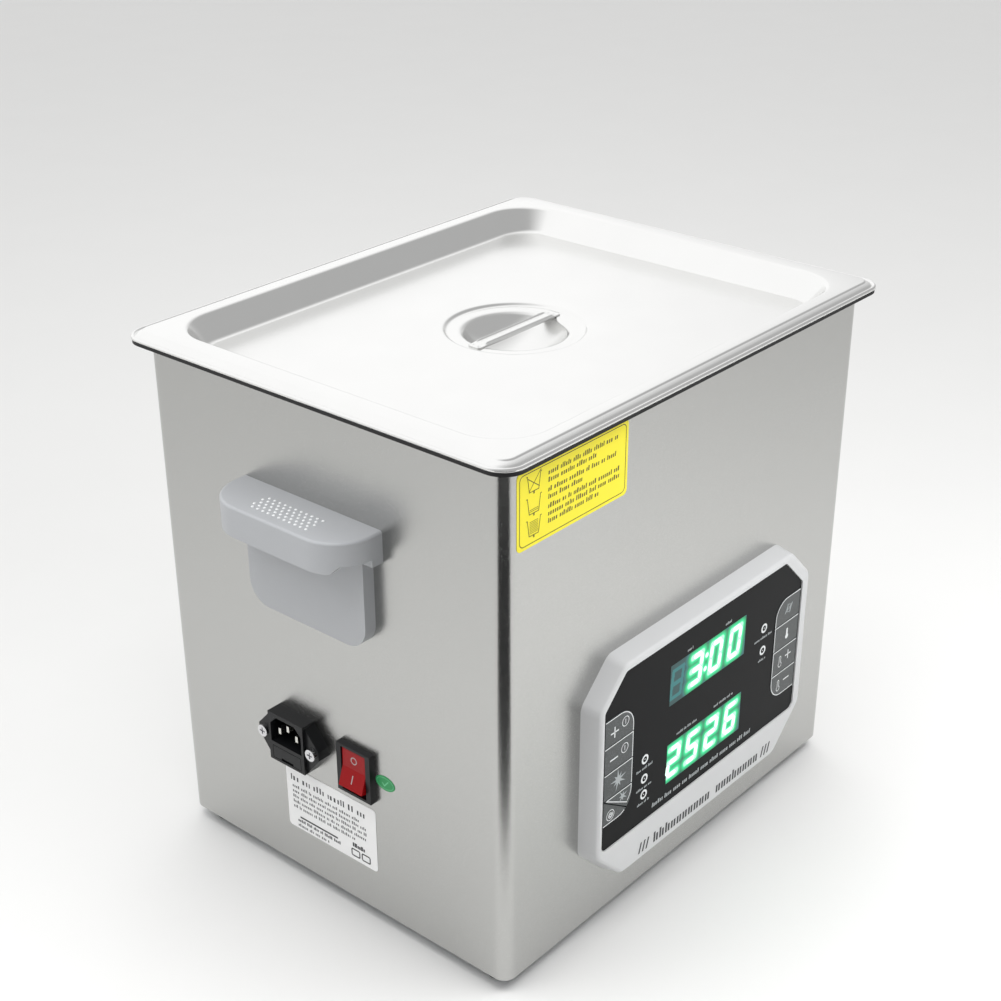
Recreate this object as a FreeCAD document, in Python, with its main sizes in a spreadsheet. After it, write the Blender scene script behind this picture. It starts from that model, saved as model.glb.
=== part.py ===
"""Bench ultrasonic cleaner: folded stainless housing, welded tank, lift-off lid and control panel.

Millimetres, +Z up. The origin lies on the surface under the feet, at the centre of the housing.
The control panel faces -Y, and the mains inlet is in the -X wall.
"""
import FreeCAD, Part
import math
import os
import re
import Sketcher

Vector = FreeCAD.Vector
doc = FreeCAD.newDocument("ultrasonic_cleaner")

# ---------------------------------------------------------------------------------------------
# Driving sizes. They go into the sheet, and every piece is bound to the sheet's cells.
# ---------------------------------------------------------------------------------------------
SIZES = {
    # housing, a folded sheet box that is open at the top
    "housing_length": 330.0,
    "housing_width": 265.0,
    "housing_height": 319.1,
    "housing_corner": 8.0,
    "sheet_gauge": 1.0,
    "return_flange": 14.0,
    # base plate, screws and feet
    "base_gauge": 1.2,
    "slip_gap": 0.3,
    "foot_height": 9.0,
    "foot_radius": 12.0,
    "foot_taper": 2.0,
    "foot_inset": 17.0,
    "screw_radius": 2.0,
    "screw_length": 8.0,
    "screw_head_radius": 3.8,
    "screw_head_height": 2.4,
    "screw_gap": 0.2,
    "base_screw_inset": 8.0,
    "base_screw_spread": 60.0,
    # tank and the black trim on its flange
    "tank_gap_x": 13.0,
    "tank_gap_y": 9.5,
    "tank_depth": 150.0,
    "tank_wall": 1.2,
    "tank_corner": 26.0,
    "tank_mouth": 6.0,
    "tank_floor_fillet": 8.0,
    "flange_gauge": 1.0,
    "flange_cover": 3.0,
    "trim_lip": 0.6,
    "trim_tuck": 0.5,
    "trim_width": 8.0,
    "trim_height": 2.2,
    "rest_gap": 0.3,
    # lid
    "lid_overhang": 10.0,
    "lid_corner": 14.0,
    "lid_gauge": 0.8,
    "lid_rim_height": 4.0,
    "lid_bevel_run": 6.5,
    "lid_bevel_rise": 2.5,
    "crease_radius": 3.0,
    "dish_spread": 4.0,
    "dish_lean": 10.0,
    "dish_depth": 14.5,
    "dish_fillet": 4.0,
    "cup_ring_radius": 41.5,
    "cup_ring_drop": 1.8,
    "cup_bowl_radius": 31.5,
    "cup_bowl_depth": 18.0,
    "strap_length": 74.0,
    "strap_width": 9.5,
    "strap_gauge": 1.5,
    # side handles
    "handle_drop": 61.1,
    "handle_shift": 4.3,
    "handle_reach": 32.0,
    "ledge_length": 106.0,
    "ledge_corner": 25.0,
    "ledge_skin": 5.0,
    "lip_height": 18.6,
    "lip_gauge": 5.0,
    "lip_step": 4.6,
    "lip_half_length": 41.0,
    "handle_plate_length": 91.0,
    "handle_plate_height": 73.5,
    "handle_plate_gauge": 8.0,
    "handle_plate_corner": 14.5,
    "handle_screw_spread": 30.0,
    "handle_screw_drop": 45.0,
    # mains inlet with its fuse drawer
    "inlet_shift": 27.0,
    "inlet_rise": 97.5,
    "inlet_width": 50.0,
    "inlet_height": 33.0,
    "ear_tip_half": 3.0,
    "ear_side_inset": 7.5,
    "ear_cut_rise": 4.0,
    "ear_low_inset": 10.5,
    "ear_high_inset": 12.0,
    "inlet_screw_tail": 5.0,
    "cross_arm": 2.2,
    "cross_half_width": 0.5,
    "inlet_ear_depth": 8.0,
    "inlet_block_width": 29.0,
    "inlet_block_depth": 10.0,
    "inlet_back_width": 27.0,
    "inlet_back_height": 30.0,
    "inlet_back_depth": 28.0,
    "inlet_screw_pitch": 40.0,
    "socket_width": 25.5,
    "socket_height": 17.5,
    "socket_depth": 17.0,
    "socket_chamfer": 5.0,
    "socket_lift": 5.2,
    "blade_width": 4.0,
    "blade_gauge": 2.0,
    "blade_pitch": 14.0,
    "blade_recess": 2.0,
    "blade_tail": 9.0,
    "earth_lift": 4.0,
    "drawer_width": 23.0,
    "drawer_height": 8.0,
    "drawer_depth": 24.0,
    "drawer_drop": 10.5,
    "drawer_gap": 0.35,
    "fuse_radius": 2.5,
    "fuse_inset": 4.0,
    "fuse_slack": 0.5,
    "fuse_end_gap": 0.3,
    "fuse_cap_gauge": 0.3,
    "nick_width": 10.0,
    "nick_depth": 1.0,
    "nick_height": 1.5,
    "fuse_length": 20.0,
    "fuse_cap_length": 5.0,
    # mains switch
    "switch_shift": -22.0,
    "switch_rise": 95.2,
    "switch_width": 26.5,
    "switch_height": 32.5,
    "switch_rim": 4.0,
    "switch_wall": 1.4,
    "switch_depth": 26.0,
    "switch_floor": 3.0,
    "terminal_pitch": 8.0,
    "rocker_width": 18.4,
    "rocker_height": 24.4,
    "keel_depth": 5.0,
    "keel_half": 6.0,
    "rocker_rise": 5.3,
    "rocker_dip": 3.4,
    "rocker_tilt": 10.0,
    "rocker_side_gap": 0.45,
    "rocker_end_gap": 2.4,
    "pivot_depth": 6.0,
    "pivot_radius": 2.0,
    "running_gap": 0.08,
    "terminal_width": 6.3,
    "terminal_gauge": 0.8,
    "terminal_length": 9.0,
    # control panel bezel
    "panel_shift": 5.75,
    "panel_rise": 102.35,
    "panel_width": 210.7,
    "panel_height": 142.5,
    "panel_depth": 13.0,
    "panel_round": 9.0,
    "panel_edge": 2.6,
    "window_round": 3.0,
    "panel_flare": 2.4,
    "panel_cut_upper_left": 22.0,
    "panel_cut_upper_right": 21.0,
    "panel_cut_lower_left": 23.0,
    "panel_cut_lower_right": 27.0,
    "panel_skin": 3.0,
    # tinted window
    "window_left": 3.0,
    "window_right": 7.7,
    "window_top": 3.7,
    "window_bottom": 26.2,
    "window_gauge": 2.0,
    "window_recess": 0.8,
    "window_ledge": 3.0,
    "window_cut_left": 18.5,
    "window_cut_right": 21.0,
    "window_cut_low": 3.0,
    # keys
    "key_left_width": 26.0,
    "key_right_width": 26.5,
    "key_edge": 1.2,
    "key_left_top": 25.0,
    "key_right_top": 25.2,
    "key_pitch": 17.7,
    "key_slit": 0.6,
    "split_reach": 5.0,
    "key_gap": 0.35,
    "key_gauge": 1.4,
    "key_proud": 0.3,
    "key_travel": 0.4,
    "key_corner": 12.5,
    "plunger_radius": 2.0,
    "plunger_gap": 0.3,
    # displays, indicators and the control board
    "display_width": 76.4,
    "display_height": 27.0,
    "display_shift": -0.4,
    "display_upper_rise": 81.5,
    "display_lower_rise": 27.5,
    "indicator_radius": 2.5,
    "lamp_left_inset": 39.4,
    "lamp_left_high": 43.8,
    "lamp_left_middle": 30.4,
    "lamp_left_low": 19.3,
    "lamp_right_inset": 41.0,
    "lamp_right_high": 76.4,
    "lamp_right_low": 60.7,
    "board_gauge": 1.6,
    "board_lift": 2.0,
    "board_margin": 5.0,
    "tact_side": 6.0,
    "tact_height": 2.2,
    "tact_body_share": 0.7,
    "tact_tip_radius": 1.6,
    "panel_screw_inset_x": 34.0,
    "panel_screw_inset_low": 12.0,
    "panel_screw_inset_top": 5.5,
    "boss_radius": 4.5,
    # labels
    "label_gauge": 0.2,
    "label_corner": 2.5,
    "notice_corner": 3.0,
    "rating_width": 74.5,
    "rating_height": 44.0,
    "rating_shift": 2.75,
    "rating_rise": 28.25,
    "notice_width": 89.5,
    "notice_height": 43.0,
    "notice_edge": 8.75,
    "notice_drop": 6.6,
    "sticker_width": 15.0,
    "sticker_height": 9.5,
    "sticker_shift": -43.5,
    "sticker_rise": 96.0,
    # transducers, heaters and sensor
    "transducer_spread_x": 75.0,
    "transducer_spread_y": 55.0,
    "horn_top_radius": 24.0,
    "horn_low_radius": 19.0,
    "horn_height": 22.0,
    "thread_share": 0.6,
    "piezo_radius": 17.5,
    "piezo_height": 5.0,
    "electrode_gap": 0.4,
    "back_height": 18.0,
    "bolt_radius": 4.0,
    "bolt_head_radius": 7.0,
    "bolt_head_height": 7.0,
    "heater_length": 200.0,
    "heater_height": 50.0,
    "heater_gauge": 2.0,
    "heater_lift": 15.0,
    "sensor_radius": 3.0,
    "sensor_length": 25.0,
    # generator board
    "generator_length": 150.0,
    "generator_width": 100.0,
    "generator_shift_x": -45.0,
    "generator_shift_y": -5.0,
    "standoff_height": 10.0,
    "standoff_radius": 3.0,
    "standoff_inset": 6.0,
    "transformer_width": 36.0,
    "transformer_depth": 30.0,
    "transformer_height": 28.0,
    "core_inset_x": 14.0,
    "core_inset_y": 16.0,
    "winding_overhang": 4.0,
    "sink_length": 70.0,
    "sink_height": 26.0,
    "sink_inset_x": 20.0,
    "sink_inset_y": 15.0,
    "sink_base": 5.0,
    "sink_fin": 1.6,
    "sink_fin_reach": 12.0,
    "capacitor_radius": 9.0,
    "can_inset_x": 18.0,
    "can_inset_y": 26.0,
    "can_gap": 2.0,
    "capacitor_height": 25.0,
    "transistor_width": 15.0,
    "transistor_height": 20.0,
    "transistor_gauge": 4.8,
    "transistor_lift": 3.0,
    # fan
    "fan_side": 80.0,
    "fan_depth": 25.0,
    "fan_bore_radius": 37.5,
    "fan_shift": -60.0,
    "fan_rise": 56.0,
    "fan_hub_radius": 17.0,
    "fan_tip_gap": 1.2,
    "fan_blade_root": 3.0,
    "fan_blade_gauge": 1.6,
    "fan_blade_chord": 16.0,
    "fan_blade_pitch": 50.0,
    "fan_seat_gauge": 3.0,
    "fan_arm_half": 2.5,
    "fan_pin_short": 6.0,
    "hub_lift": 4.0,
    "hub_cap": 1.5,
    "fan_pin_radius": 1.5,
    "fan_hole_pitch": 71.5,
    "vent_slot": 4.0,
    "vent_bar": 4.0,
    # drain
    "drain_inset_x": 30.0,
    "drain_shift": 50.0,
    "drain_rise": 38.0,
    "drain_bore": 6.0,
    "drain_pipe_wall": 1.5,
    "drain_bend": 18.0,
    "drain_flange_radius": 15.0,
    "drain_flange_height": 2.0,
    "drain_nut_radius": 14.0,
    "drain_nut_height": 8.0,
    "stub_tail": 4.0,
    "drain_seal_height": 2.0,
    "valve_length": 52.0,
    "valve_radius": 14.0,
    "valve_ball_radius": 10.0,
    "valve_end_radius": 10.45,
    "valve_end_length": 12.0,
    "valve_neck_radius": 6.0,
    "valve_neck_height": 20.0,
    "valve_stem_radius": 3.0,
    "valve_stem_height": 23.0,
    "lever_length": 62.0,
    "lever_width": 12.0,
    "lever_gauge": 3.0,
    "lever_hub_rise": 2.0,
}

# Places and sizes that follow from the driving ones.
FOLLOWS = {
    "half_x": "housing_length / 2",
    "half_y": "housing_width / 2",
    "housing_top": "foot_height + housing_height",
    "inside_x": "half_x - sheet_gauge",
    "inside_y": "half_y - sheet_gauge",
    "inside_corner": "housing_corner - sheet_gauge",
    "flange_top": "housing_top + flange_gauge",
    "trim_top": "flange_top + trim_lip",
    "trim_bottom": "trim_top - trim_height",
    "lid_bottom": "trim_top + rest_gap",
    "lid_half_x": "half_x + lid_overhang",
    "lid_half_y": "half_y + lid_overhang",
    "lid_top": "lid_bottom + lid_rim_height",
    "dish_floor": "lid_top - dish_depth",
    "tank_half_x": "half_x - tank_gap_x",
    "tank_half_y": "half_y - tank_gap_y",
    "tank_floor": "flange_top - tank_depth",
    "tank_under": "tank_floor - tank_wall",
    "dish_half_x": "tank_half_x + dish_spread",
    "dish_half_y": "tank_half_y + dish_spread",
    "dish_corner": "tank_corner + dish_spread",
    "dish_slope": "atan(dish_lean / dish_depth)",
    "block_spread": "lid_gauge * (1 / cos(dish_slope) - tan(dish_slope))",
    "cup_sphere": "(cup_bowl_radius * cup_bowl_radius + cup_bowl_depth * cup_bowl_depth)"
                  " / (2 * cup_bowl_depth)",
    "cup_ring_floor": "dish_floor - cup_ring_drop",
    "cup_centre": "cup_ring_floor + cup_sphere - cup_bowl_depth",
    "base_top": "foot_height + base_gauge",
    "fastener_hole": "screw_radius + screw_gap",
    "foot_x": "half_x - foot_inset",
    "foot_y": "half_y - foot_inset",
    "handle_top": "housing_top - handle_drop",
    "handle_screw_z": "handle_top - handle_screw_drop",
    "lip_bottom": "handle_top - lip_height",
    "finger_corner": "handle_reach - lip_gauge - handle_plate_gauge - 1",
    "inlet_z": "foot_height + inlet_rise",
    "socket_z": "inlet_z + socket_lift",
    "drawer_z": "inlet_z - drawer_drop",
    "switch_z": "foot_height + switch_rise",
    "pivot_x": "-half_x + pivot_depth",
    "cavity_width": "rocker_width + 2 * rocker_side_gap",
    "cavity_height": "rocker_height + 2 * rocker_end_gap",
    "panel_z": "foot_height + panel_rise",
    "panel_left": "panel_shift - panel_width / 2",
    "panel_right": "panel_shift + panel_width / 2",
    "panel_low": "panel_z - panel_height / 2",
    "panel_high": "panel_z + panel_height / 2",
    "window_x0": "panel_left + window_left",
    "window_x1": "panel_right - window_right",
    "window_z0": "panel_low + window_bottom",
    "window_z1": "panel_high - window_top",
    "window_front": "panel_depth - window_recess",
    "window_back": "window_front - window_gauge",
    "ledge_back": "window_back - window_gauge",
    "key_front": "window_front + key_proud",
    "key_back": "key_front - key_gauge",
    "board_front": "board_lift + board_gauge",
    "tact_top": "board_front + tact_height",
    "display_x": "panel_shift + display_shift - 2",
    "generator_z": "base_top + standoff_height",
    "generator_top": "generator_z + board_gauge",
    "fan_z": "foot_height + fan_rise",
    "fan_back": "inside_y",
    "fan_front": "inside_y - fan_depth",
    "drain_x": "tank_half_x - drain_inset_x",
    "drain_z": "foot_height + drain_rise",
    "pipe_radius": "drain_bore + drain_pipe_wall",
    "valve_x0": "half_x",
    "valve_centre": "half_x + valve_length / 2 - 6",
    "lever_z": "drain_z + valve_stem_height",
}

sheet = doc.addObject("Spreadsheet::Sheet", "Sizes")
for row, (size_name, size_value) in enumerate(SIZES.items(), start=1):
    sheet.set("A%d" % row, size_name)
    sheet.set("B%d" % row, repr(size_value))
    sheet.setAlias("B%d" % row, size_name)
doc.recompute()

# ---------------------------------------------------------------------------------------------
# Helpers: formulas, primitives, booleans and sketched features
# ---------------------------------------------------------------------------------------------
made_names = set()


def spelled(formula):
    """Write a formula of size names as one of sheet cells."""
    def swap(match):
        word = match.group(0)
        if word in FOLLOWS:
            return "(" + spelled(FOLLOWS[word]) + ")"
        return "Sizes." + word if word in SIZES else word
    return re.sub(r"[a-z][a-z0-9_]*", swap, str(formula))


def number(formula):
    """The present value of a formula, for places where an expression can't be bound."""
    return float(sheet.evalExpression(spelled(formula)))


def bind(target, path, formula):
    target.setExpression(path, spelled(formula))


def fresh(name):
    """An object name that isn't used yet."""
    count = 1
    trial = name
    while trial in made_names:
        count += 1
        trial = "%s_%d" % (name, count)
    made_names.add(trial)
    return trial


def place(target, at, turn=None):
    """Bind a primitive's place to formulas, after an optional turn (axis, degrees)."""
    if turn:
        target.Placement = FreeCAD.Placement(Vector(0, 0, 0), FreeCAD.Rotation(turn[0], turn[1]))
    for letter, formula in zip("xyz", at):
        bind(target, "Placement.Base." + letter, formula)


def box(low, high, name="box"):
    """A box between two corners, each given as three formulas."""
    made = doc.addObject("Part::Box", fresh(name))
    for side, start, end in zip(("Length", "Width", "Height"), low, high):
        bind(made, side, "(%s) - (%s)" % (end, start))
    place(made, low)
    return made


SINK_FINS = 8
FAN_BLADES = 7
TURNS = {"+z": None, "-z": (Vector(1, 0, 0), 180), "+x": (Vector(0, 1, 0), 90),
         "-x": (Vector(0, 1, 0), -90), "+y": (Vector(1, 0, 0), -90), "-y": (Vector(1, 0, 0), 90)}


def cylinder(start, axis, radius, length, name="cylinder"):
    """A cylinder from a start point along one of the frame's directions."""
    made = doc.addObject("Part::Cylinder", fresh(name))
    bind(made, "Radius", radius)
    bind(made, "Height", length)
    place(made, start, TURNS[axis])
    return made


def cone(start, axis, radius_start, radius_end, length, name="cone"):
    made = doc.addObject("Part::Cone", fresh(name))
    bind(made, "Radius1", radius_start)
    bind(made, "Radius2", radius_end)
    bind(made, "Height", length)
    place(made, start, TURNS[axis])
    return made


def sphere(centre, radius, name="sphere"):
    made = doc.addObject("Part::Sphere", fresh(name))
    bind(made, "Radius", radius)
    place(made, centre)
    return made


def fuse(*shapes):
    made = doc.addObject("Part::MultiFuse", fresh("fuse"))
    made.Shapes = list(shapes)
    made.Refine = True
    return made


def cut(base, *tools):
    made = doc.addObject("Part::Cut", fresh("cut"))
    made.Base = base
    made.Tool = tools[0] if len(tools) == 1 else fuse(*tools)
    return made


def common(*shapes):
    made = doc.addObject("Part::MultiCommon", fresh("common"))
    made.Shapes = list(shapes)
    return made


def group(*shapes):
    """Several separate solids that share one node."""
    made = doc.addObject("Part::Compound", fresh("group"))
    made.Links = list(shapes)
    return made


def mirrored(source, normal):
    made = doc.addObject("Part::Mirroring", fresh("mirror"))
    made.Source = source
    made.Normal = normal
    return made


def rounded(source, radius, pick):
    """Round the edges of a finished shape that the picker chooses."""
    doc.recompute()
    made = doc.addObject("Part::Fillet", fresh("rounded"))
    made.Base = source
    size = number(radius)
    made.Edges = [(i + 1, size, size) for i, edge in enumerate(source.Shape.Edges) if pick(edge)]
    return made


def new_body(name):
    made = doc.addObject("PartDesign::Body", fresh(name))
    return made


def new_sketch(body, role, lift):
    sketch = body.newObject("Sketcher::SketchObject", fresh(body.Name + "_sketch"))
    origin_plane = next(item for item in body.Origin.OriginFeatures if item.Role == role)
    sketch.AttachmentSupport = [(origin_plane, "")]
    sketch.MapMode = "FlatFace"
    bind(sketch, "AttachmentOffset.Base.z", lift)
    return sketch


def pin_point(sketch, item, end, formulas):
    """Tie one point of a sketch to formulas for its distances from the sketch's origin."""
    for kind, formula in zip(("DistanceX", "DistanceY"), formulas):
        rule = Sketcher.Constraint(kind, -1, 1, item, end, number(formula))
        index = sketch.addConstraint(rule)
        bind(sketch, "Constraints[%d]" % index, formula)


def polygon(sketch, corners):
    """Add a closed outline of straight lines, with every corner tied to formulas."""
    first = sketch.GeometryCount
    spots = [Vector(number(x), number(y), 0) for x, y in corners]
    for i, spot in enumerate(spots):
        sketch.addGeometry(Part.LineSegment(spot, spots[(i + 1) % len(spots)]), False)
    for i in range(len(spots)):
        following = first + (i + 1) % len(spots)
        sketch.addConstraint(Sketcher.Constraint("Coincident", first + i, 2, following, 1))
    for i, formulas in enumerate(corners):
        pin_point(sketch, first + i, 1, formulas)


def circle(sketch, x, y, radius):
    item = sketch.GeometryCount
    middle = Vector(number(x), number(y), 0)
    sketch.addGeometry(Part.Circle(middle, Vector(0, 0, 1), number(radius)), False)
    pin_point(sketch, item, 3, (x, y))
    index = sketch.addConstraint(Sketcher.Constraint("Radius", item, number(radius)))
    bind(sketch, "Constraints[%d]" % index, radius)


def round_rectangle(sketch, x0, y0, x1, y1, radius):
    """Add a rectangle with round corners: each line's ends are tied, and each arc has its radius."""
    def formulas(x, x_side, y, y_side):
        return ("(%s) + (%s) * %d" % (x, radius, x_side), "(%s) + (%s) * %d" % (y, radius, y_side))
    lines = [(formulas(x0, 1, y0, 0), formulas(x1, -1, y0, 0)),
             (formulas(x1, 0, y0, 1), formulas(x1, 0, y1, -1)),
             (formulas(x1, -1, y1, 0), formulas(x0, 1, y1, 0)),
             (formulas(x0, 0, y1, -1), formulas(x0, 0, y0, 1))]
    middles = [formulas(x1, -1, y0, 1), formulas(x1, -1, y1, -1),
               formulas(x0, 1, y1, -1), formulas(x0, 1, y0, 1)]
    first = sketch.GeometryCount
    size = number(radius)
    for quarter, ((start, end), middle) in enumerate(zip(lines, middles)):
        spots = [Vector(number(x), number(y), 0) for x, y in (start, end, middle)]
        sketch.addGeometry(Part.LineSegment(spots[0], spots[1]), False)
        whole = Part.Circle(spots[2], Vector(0, 0, 1), size)
        from_angle = math.pi / 2 * (quarter - 1)
        sketch.addGeometry(Part.ArcOfCircle(whole, from_angle, from_angle + math.pi / 2), False)
    for quarter, (start, end) in enumerate(lines):
        line = first + 2 * quarter
        following = first + (2 * quarter + 2) % 8
        sketch.addConstraint(Sketcher.Constraint("Coincident", line, 2, line + 1, 1))
        sketch.addConstraint(Sketcher.Constraint("Coincident", line + 1, 2, following, 1))
        pin_point(sketch, line, 1, start)
        pin_point(sketch, line, 2, end)
        index = sketch.addConstraint(Sketcher.Constraint("Radius", line + 1, size))
        bind(sketch, "Constraints[%d]" % index, radius)


def outline(body, role, lift, *loops):
    """A sketch of closed loops.

    A list is a polygon's corners, (x, y, radius) is a circle, and (x0, y0, x1, y1, radius) is a
    rectangle with round corners.
    """
    sketch = new_sketch(body, role, lift)
    for loop in loops:
        if isinstance(loop, list):
            polygon(sketch, loop)
        elif len(loop) == 3:
            circle(sketch, *loop)
        else:
            round_rectangle(sketch, *loop)
    return sketch


def rectangle(x0, y0, x1, y1):
    return [(x0, y0), (x1, y0), (x1, y1), (x0, y1)]


def centred(half_width, half_height, radius=None):
    """A rectangle about the origin, with round corners if a radius is given."""
    corners = ("-(%s)" % half_width, "-(%s)" % half_height, half_width, half_height)
    return corners + (radius,) if radius else rectangle(*corners)


def grow(body, kind, sketch, length, reverse, lean):
    """Pad or pocket a sketch. A lean, in degrees, narrows it as it goes. The volume has to change."""
    before = body.Shape.Volume if not body.Shape.isNull() else 0.0
    feature = body.newObject("PartDesign::" + kind, fresh(body.Name + "_" + kind.lower()))
    feature.Profile = sketch
    bind(feature, "Length", length)
    if lean:
        bind(feature, "TaperAngle", "-(%s)" % lean)
    feature.Reversed = reverse
    sketch.Visibility = False
    doc.recompute()
    change = body.Shape.Volume - before
    if (kind == "Pad") != (change > 0) or abs(change) < 1e-6:
        raise RuntimeError("%s of %s changed nothing" % (kind, body.Name))
    return feature


def pad(body, sketch, length, reverse=False, lean=None):
    return grow(body, "Pad", sketch, length, reverse, lean)


def pocket(body, sketch, length, reverse=False, lean=None):
    return grow(body, "Pocket", sketch, length, reverse, lean)


def round_off(body, radius, pick):
    """Fillet the edges of the body's latest feature that the picker chooses."""
    doc.recompute()
    base = body.Tip
    names = ["Edge%d" % (i + 1) for i, edge in enumerate(base.Shape.Edges) if pick(edge)]
    if not names:
        raise RuntimeError("no edge to round on " + body.Name)
    feature = body.newObject("PartDesign::Fillet", fresh(body.Name + "_fillet"))
    feature.Base = (base, names)
    bind(feature, "Radius", radius)
    doc.recompute()
    if "Invalid" in feature.State:
        raise RuntimeError("%s failed on %s" % (feature.Name, body.Name))
    return feature


def along(axis, where=lambda middle: True):
    """A picker for straight edges along an axis (0, 1 or 2) whose middle passes a test."""
    def pick(edge):
        if not isinstance(edge.Curve, (Part.Line, Part.LineSegment)):
            return False
        direction = edge.tangentAt(edge.FirstParameter)
        middle = edge.valueAt((edge.FirstParameter + edge.LastParameter) / 2)
        return abs(direction[axis]) > 0.999 and where(middle)
    return pick


def level(height, where=lambda middle: True):
    """A picker for edges that lie flat at a height."""
    def pick(edge):
        bounds = edge.BoundBox
        middle = edge.valueAt((edge.FirstParameter + edge.LastParameter) / 2)
        return max(abs(bounds.ZMin - height), abs(bounds.ZMax - height)) < 1e-4 and where(middle)
    return pick


def within(reach_x, reach_y):
    """Picks what lies inside a centred rectangle, seen from above."""
    slack = 0.01
    return lambda m: abs(m.x) < reach_x + slack and abs(m.y) < reach_y + slack


def label(made, name):
    """Give a finished piece its node's name."""
    made.Label = name
    FINISHED[name] = made
    return made


FINISHED = {}


def screw(head, axis, length="screw_length"):
    """A pan-head screw: its head's underside is at the given point and its shank runs along axis."""
    away = {"+": "-", "-": "+"}[axis[0]] + axis[1]
    shank = cylinder(head, axis, "screw_radius", length, "screw_shank")
    cap = cylinder(head, away, "screw_head_radius", "screw_head_height", "screw_head")
    return fuse(shank, cap)


# ---------------------------------------------------------------------------------------------
# Places that several pieces share
# ---------------------------------------------------------------------------------------------
BASE_SCREWS = [("base_screw_spread * %d" % side, "(half_y - base_screw_inset) * %d" % end)
               for side in (-1, 1) for end in (-1, 1)]
BASE_SCREWS += [("(half_x - base_screw_inset) * %d" % end, "base_screw_spread * %d" % side)
                for side in (-1, 1) for end in (-1, 1)]
FEET = [("foot_x * %d" % side, "foot_y * %d" % end) for side in (-1, 1) for end in (-1, 1)]
HANDLE_SCREWS = ["handle_shift + handle_screw_spread * %d" % side for side in (-1, 1)]
PANEL_SCREWS = [(x, z)
                for x in ("panel_left + panel_screw_inset_x", "panel_right - panel_screw_inset_x")
                for z in ("panel_low + panel_screw_inset_low", "panel_high - panel_screw_inset_top")]
FAN_SCREWS = [("fan_shift + fan_hole_pitch / 2 * %d" % side, "fan_z + fan_hole_pitch / 2 * %d" % end)
              for side in (-1, 1) for end in (-1, 1)]
TRANSDUCERS = [("transducer_spread_x * %d" % side, "transducer_spread_y * %d" % end)
               for side in (-1, 1) for end in (-1, 1)]
STANDOFFS = [("generator_shift_x + (generator_length / 2 - standoff_inset) * %d" % side,
              "generator_shift_y + (generator_width / 2 - standoff_inset) * %d" % end)
             for side in (-1, 1) for end in (-1, 1)]


# ---------------------------------------------------------------------------------------------
# Case
# ---------------------------------------------------------------------------------------------
def make_housing():
    """One folded sheet: four walls with round upright corners and a return flange at the foot."""
    body = new_body("housing_body")
    blank = outline(body, "XY_Plane", "foot_height", centred("half_x", "half_y", "housing_corner"))
    pad(body, blank, "housing_height")
    floor_top = "base_top + slip_gap + sheet_gauge"
    inside = centred("inside_x", "inside_y", "inside_corner")
    pocket(body, outline(body, "XY_Plane", "housing_top", inside), "housing_top - (%s)" % floor_top)
    opening = outline(body, "XY_Plane", floor_top,
                      centred("half_x - return_flange", "half_y - return_flange"))
    pocket(body, opening, "sheet_gauge + 2")
    under = outline(body, "XY_Plane", "foot_height", inside)
    pocket(body, under, "base_gauge + slip_gap", reverse=True)
    holes = outline(body, "XY_Plane", floor_top,
                    *[(x, y, "fastener_hole") for x, y in BASE_SCREWS])
    pocket(body, holes, "sheet_gauge + 2")
    cut_side_openings(body)
    cut_front_and_rear_openings(body)
    return label(body, "housing")


def cut_side_openings(body):
    """Holes in the two side walls, for the inlet, the switch, the handles and the drain."""
    inlet_hole = rectangle("inlet_shift - inlet_back_width / 2 - slip_gap",
                           "inlet_z - inlet_back_height / 2 - slip_gap",
                           "inlet_shift + inlet_back_width / 2 + slip_gap",
                           "inlet_z + inlet_back_height / 2 + slip_gap")
    switch_hole = rectangle("switch_shift - cavity_width / 2 - switch_wall - slip_gap",
                            "switch_z - cavity_height / 2 - switch_wall - slip_gap",
                            "switch_shift + cavity_width / 2 + switch_wall + slip_gap",
                            "switch_z + cavity_height / 2 + switch_wall + slip_gap")
    inlet_screws = [("inlet_shift + inlet_screw_pitch / 2 * %d" % side, "inlet_z", "fastener_hole")
                    for side in (-1, 1)]
    handle_holes = [(y, "handle_screw_z", "fastener_hole") for y in HANDLE_SCREWS]
    left = outline(body, "YZ_Plane", "-half_x", inlet_hole, switch_hole, *(inlet_screws + handle_holes))
    pocket(body, left, "sheet_gauge + 0.5", reverse=True)
    drain_hole = ("drain_shift", "drain_z", "pipe_radius + slip_gap")
    right = outline(body, "YZ_Plane", "half_x", drain_hole, *handle_holes)
    pocket(body, right, "sheet_gauge + 0.5")


def cut_front_and_rear_openings(body):
    """The cable opening behind the panel, and the vent slots behind the fan."""
    cable_hole = rectangle("panel_shift - panel_width / 4", "panel_z - panel_height / 5",
                           "panel_shift + panel_width / 4", "panel_z + panel_height / 5")
    panel_holes = [(x, z, "fastener_hole") for x, z in PANEL_SCREWS]
    front = outline(body, "XZ_Plane", "half_y", cable_hole, *panel_holes)
    pocket(body, front, "sheet_gauge + 0.5")
    step = "(vent_slot + vent_bar)"
    count = int(number("(2 * fan_bore_radius - vent_slot) / %s" % step))
    slots = []
    for index in range(count):
        middle = "fan_shift + %s * (%d - %d / 2)" % (step, index, count - 1)
        reach = "sqrt(fan_bore_radius ^ 2 - (%s * (abs(%d - %d / 2) + 0.5)) ^ 2)" % (step, index, count - 1)
        slots.append(rectangle("%s - vent_slot / 2" % middle, "fan_z - %s" % reach,
                               "%s + vent_slot / 2" % middle, "fan_z + %s" % reach))
    fan_holes = [(x, z, "fastener_hole") for x, z in FAN_SCREWS]
    rear = outline(body, "XZ_Plane", "-half_y", *(slots + fan_holes))
    pocket(body, rear, "sheet_gauge + 0.5", reverse=True)


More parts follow.
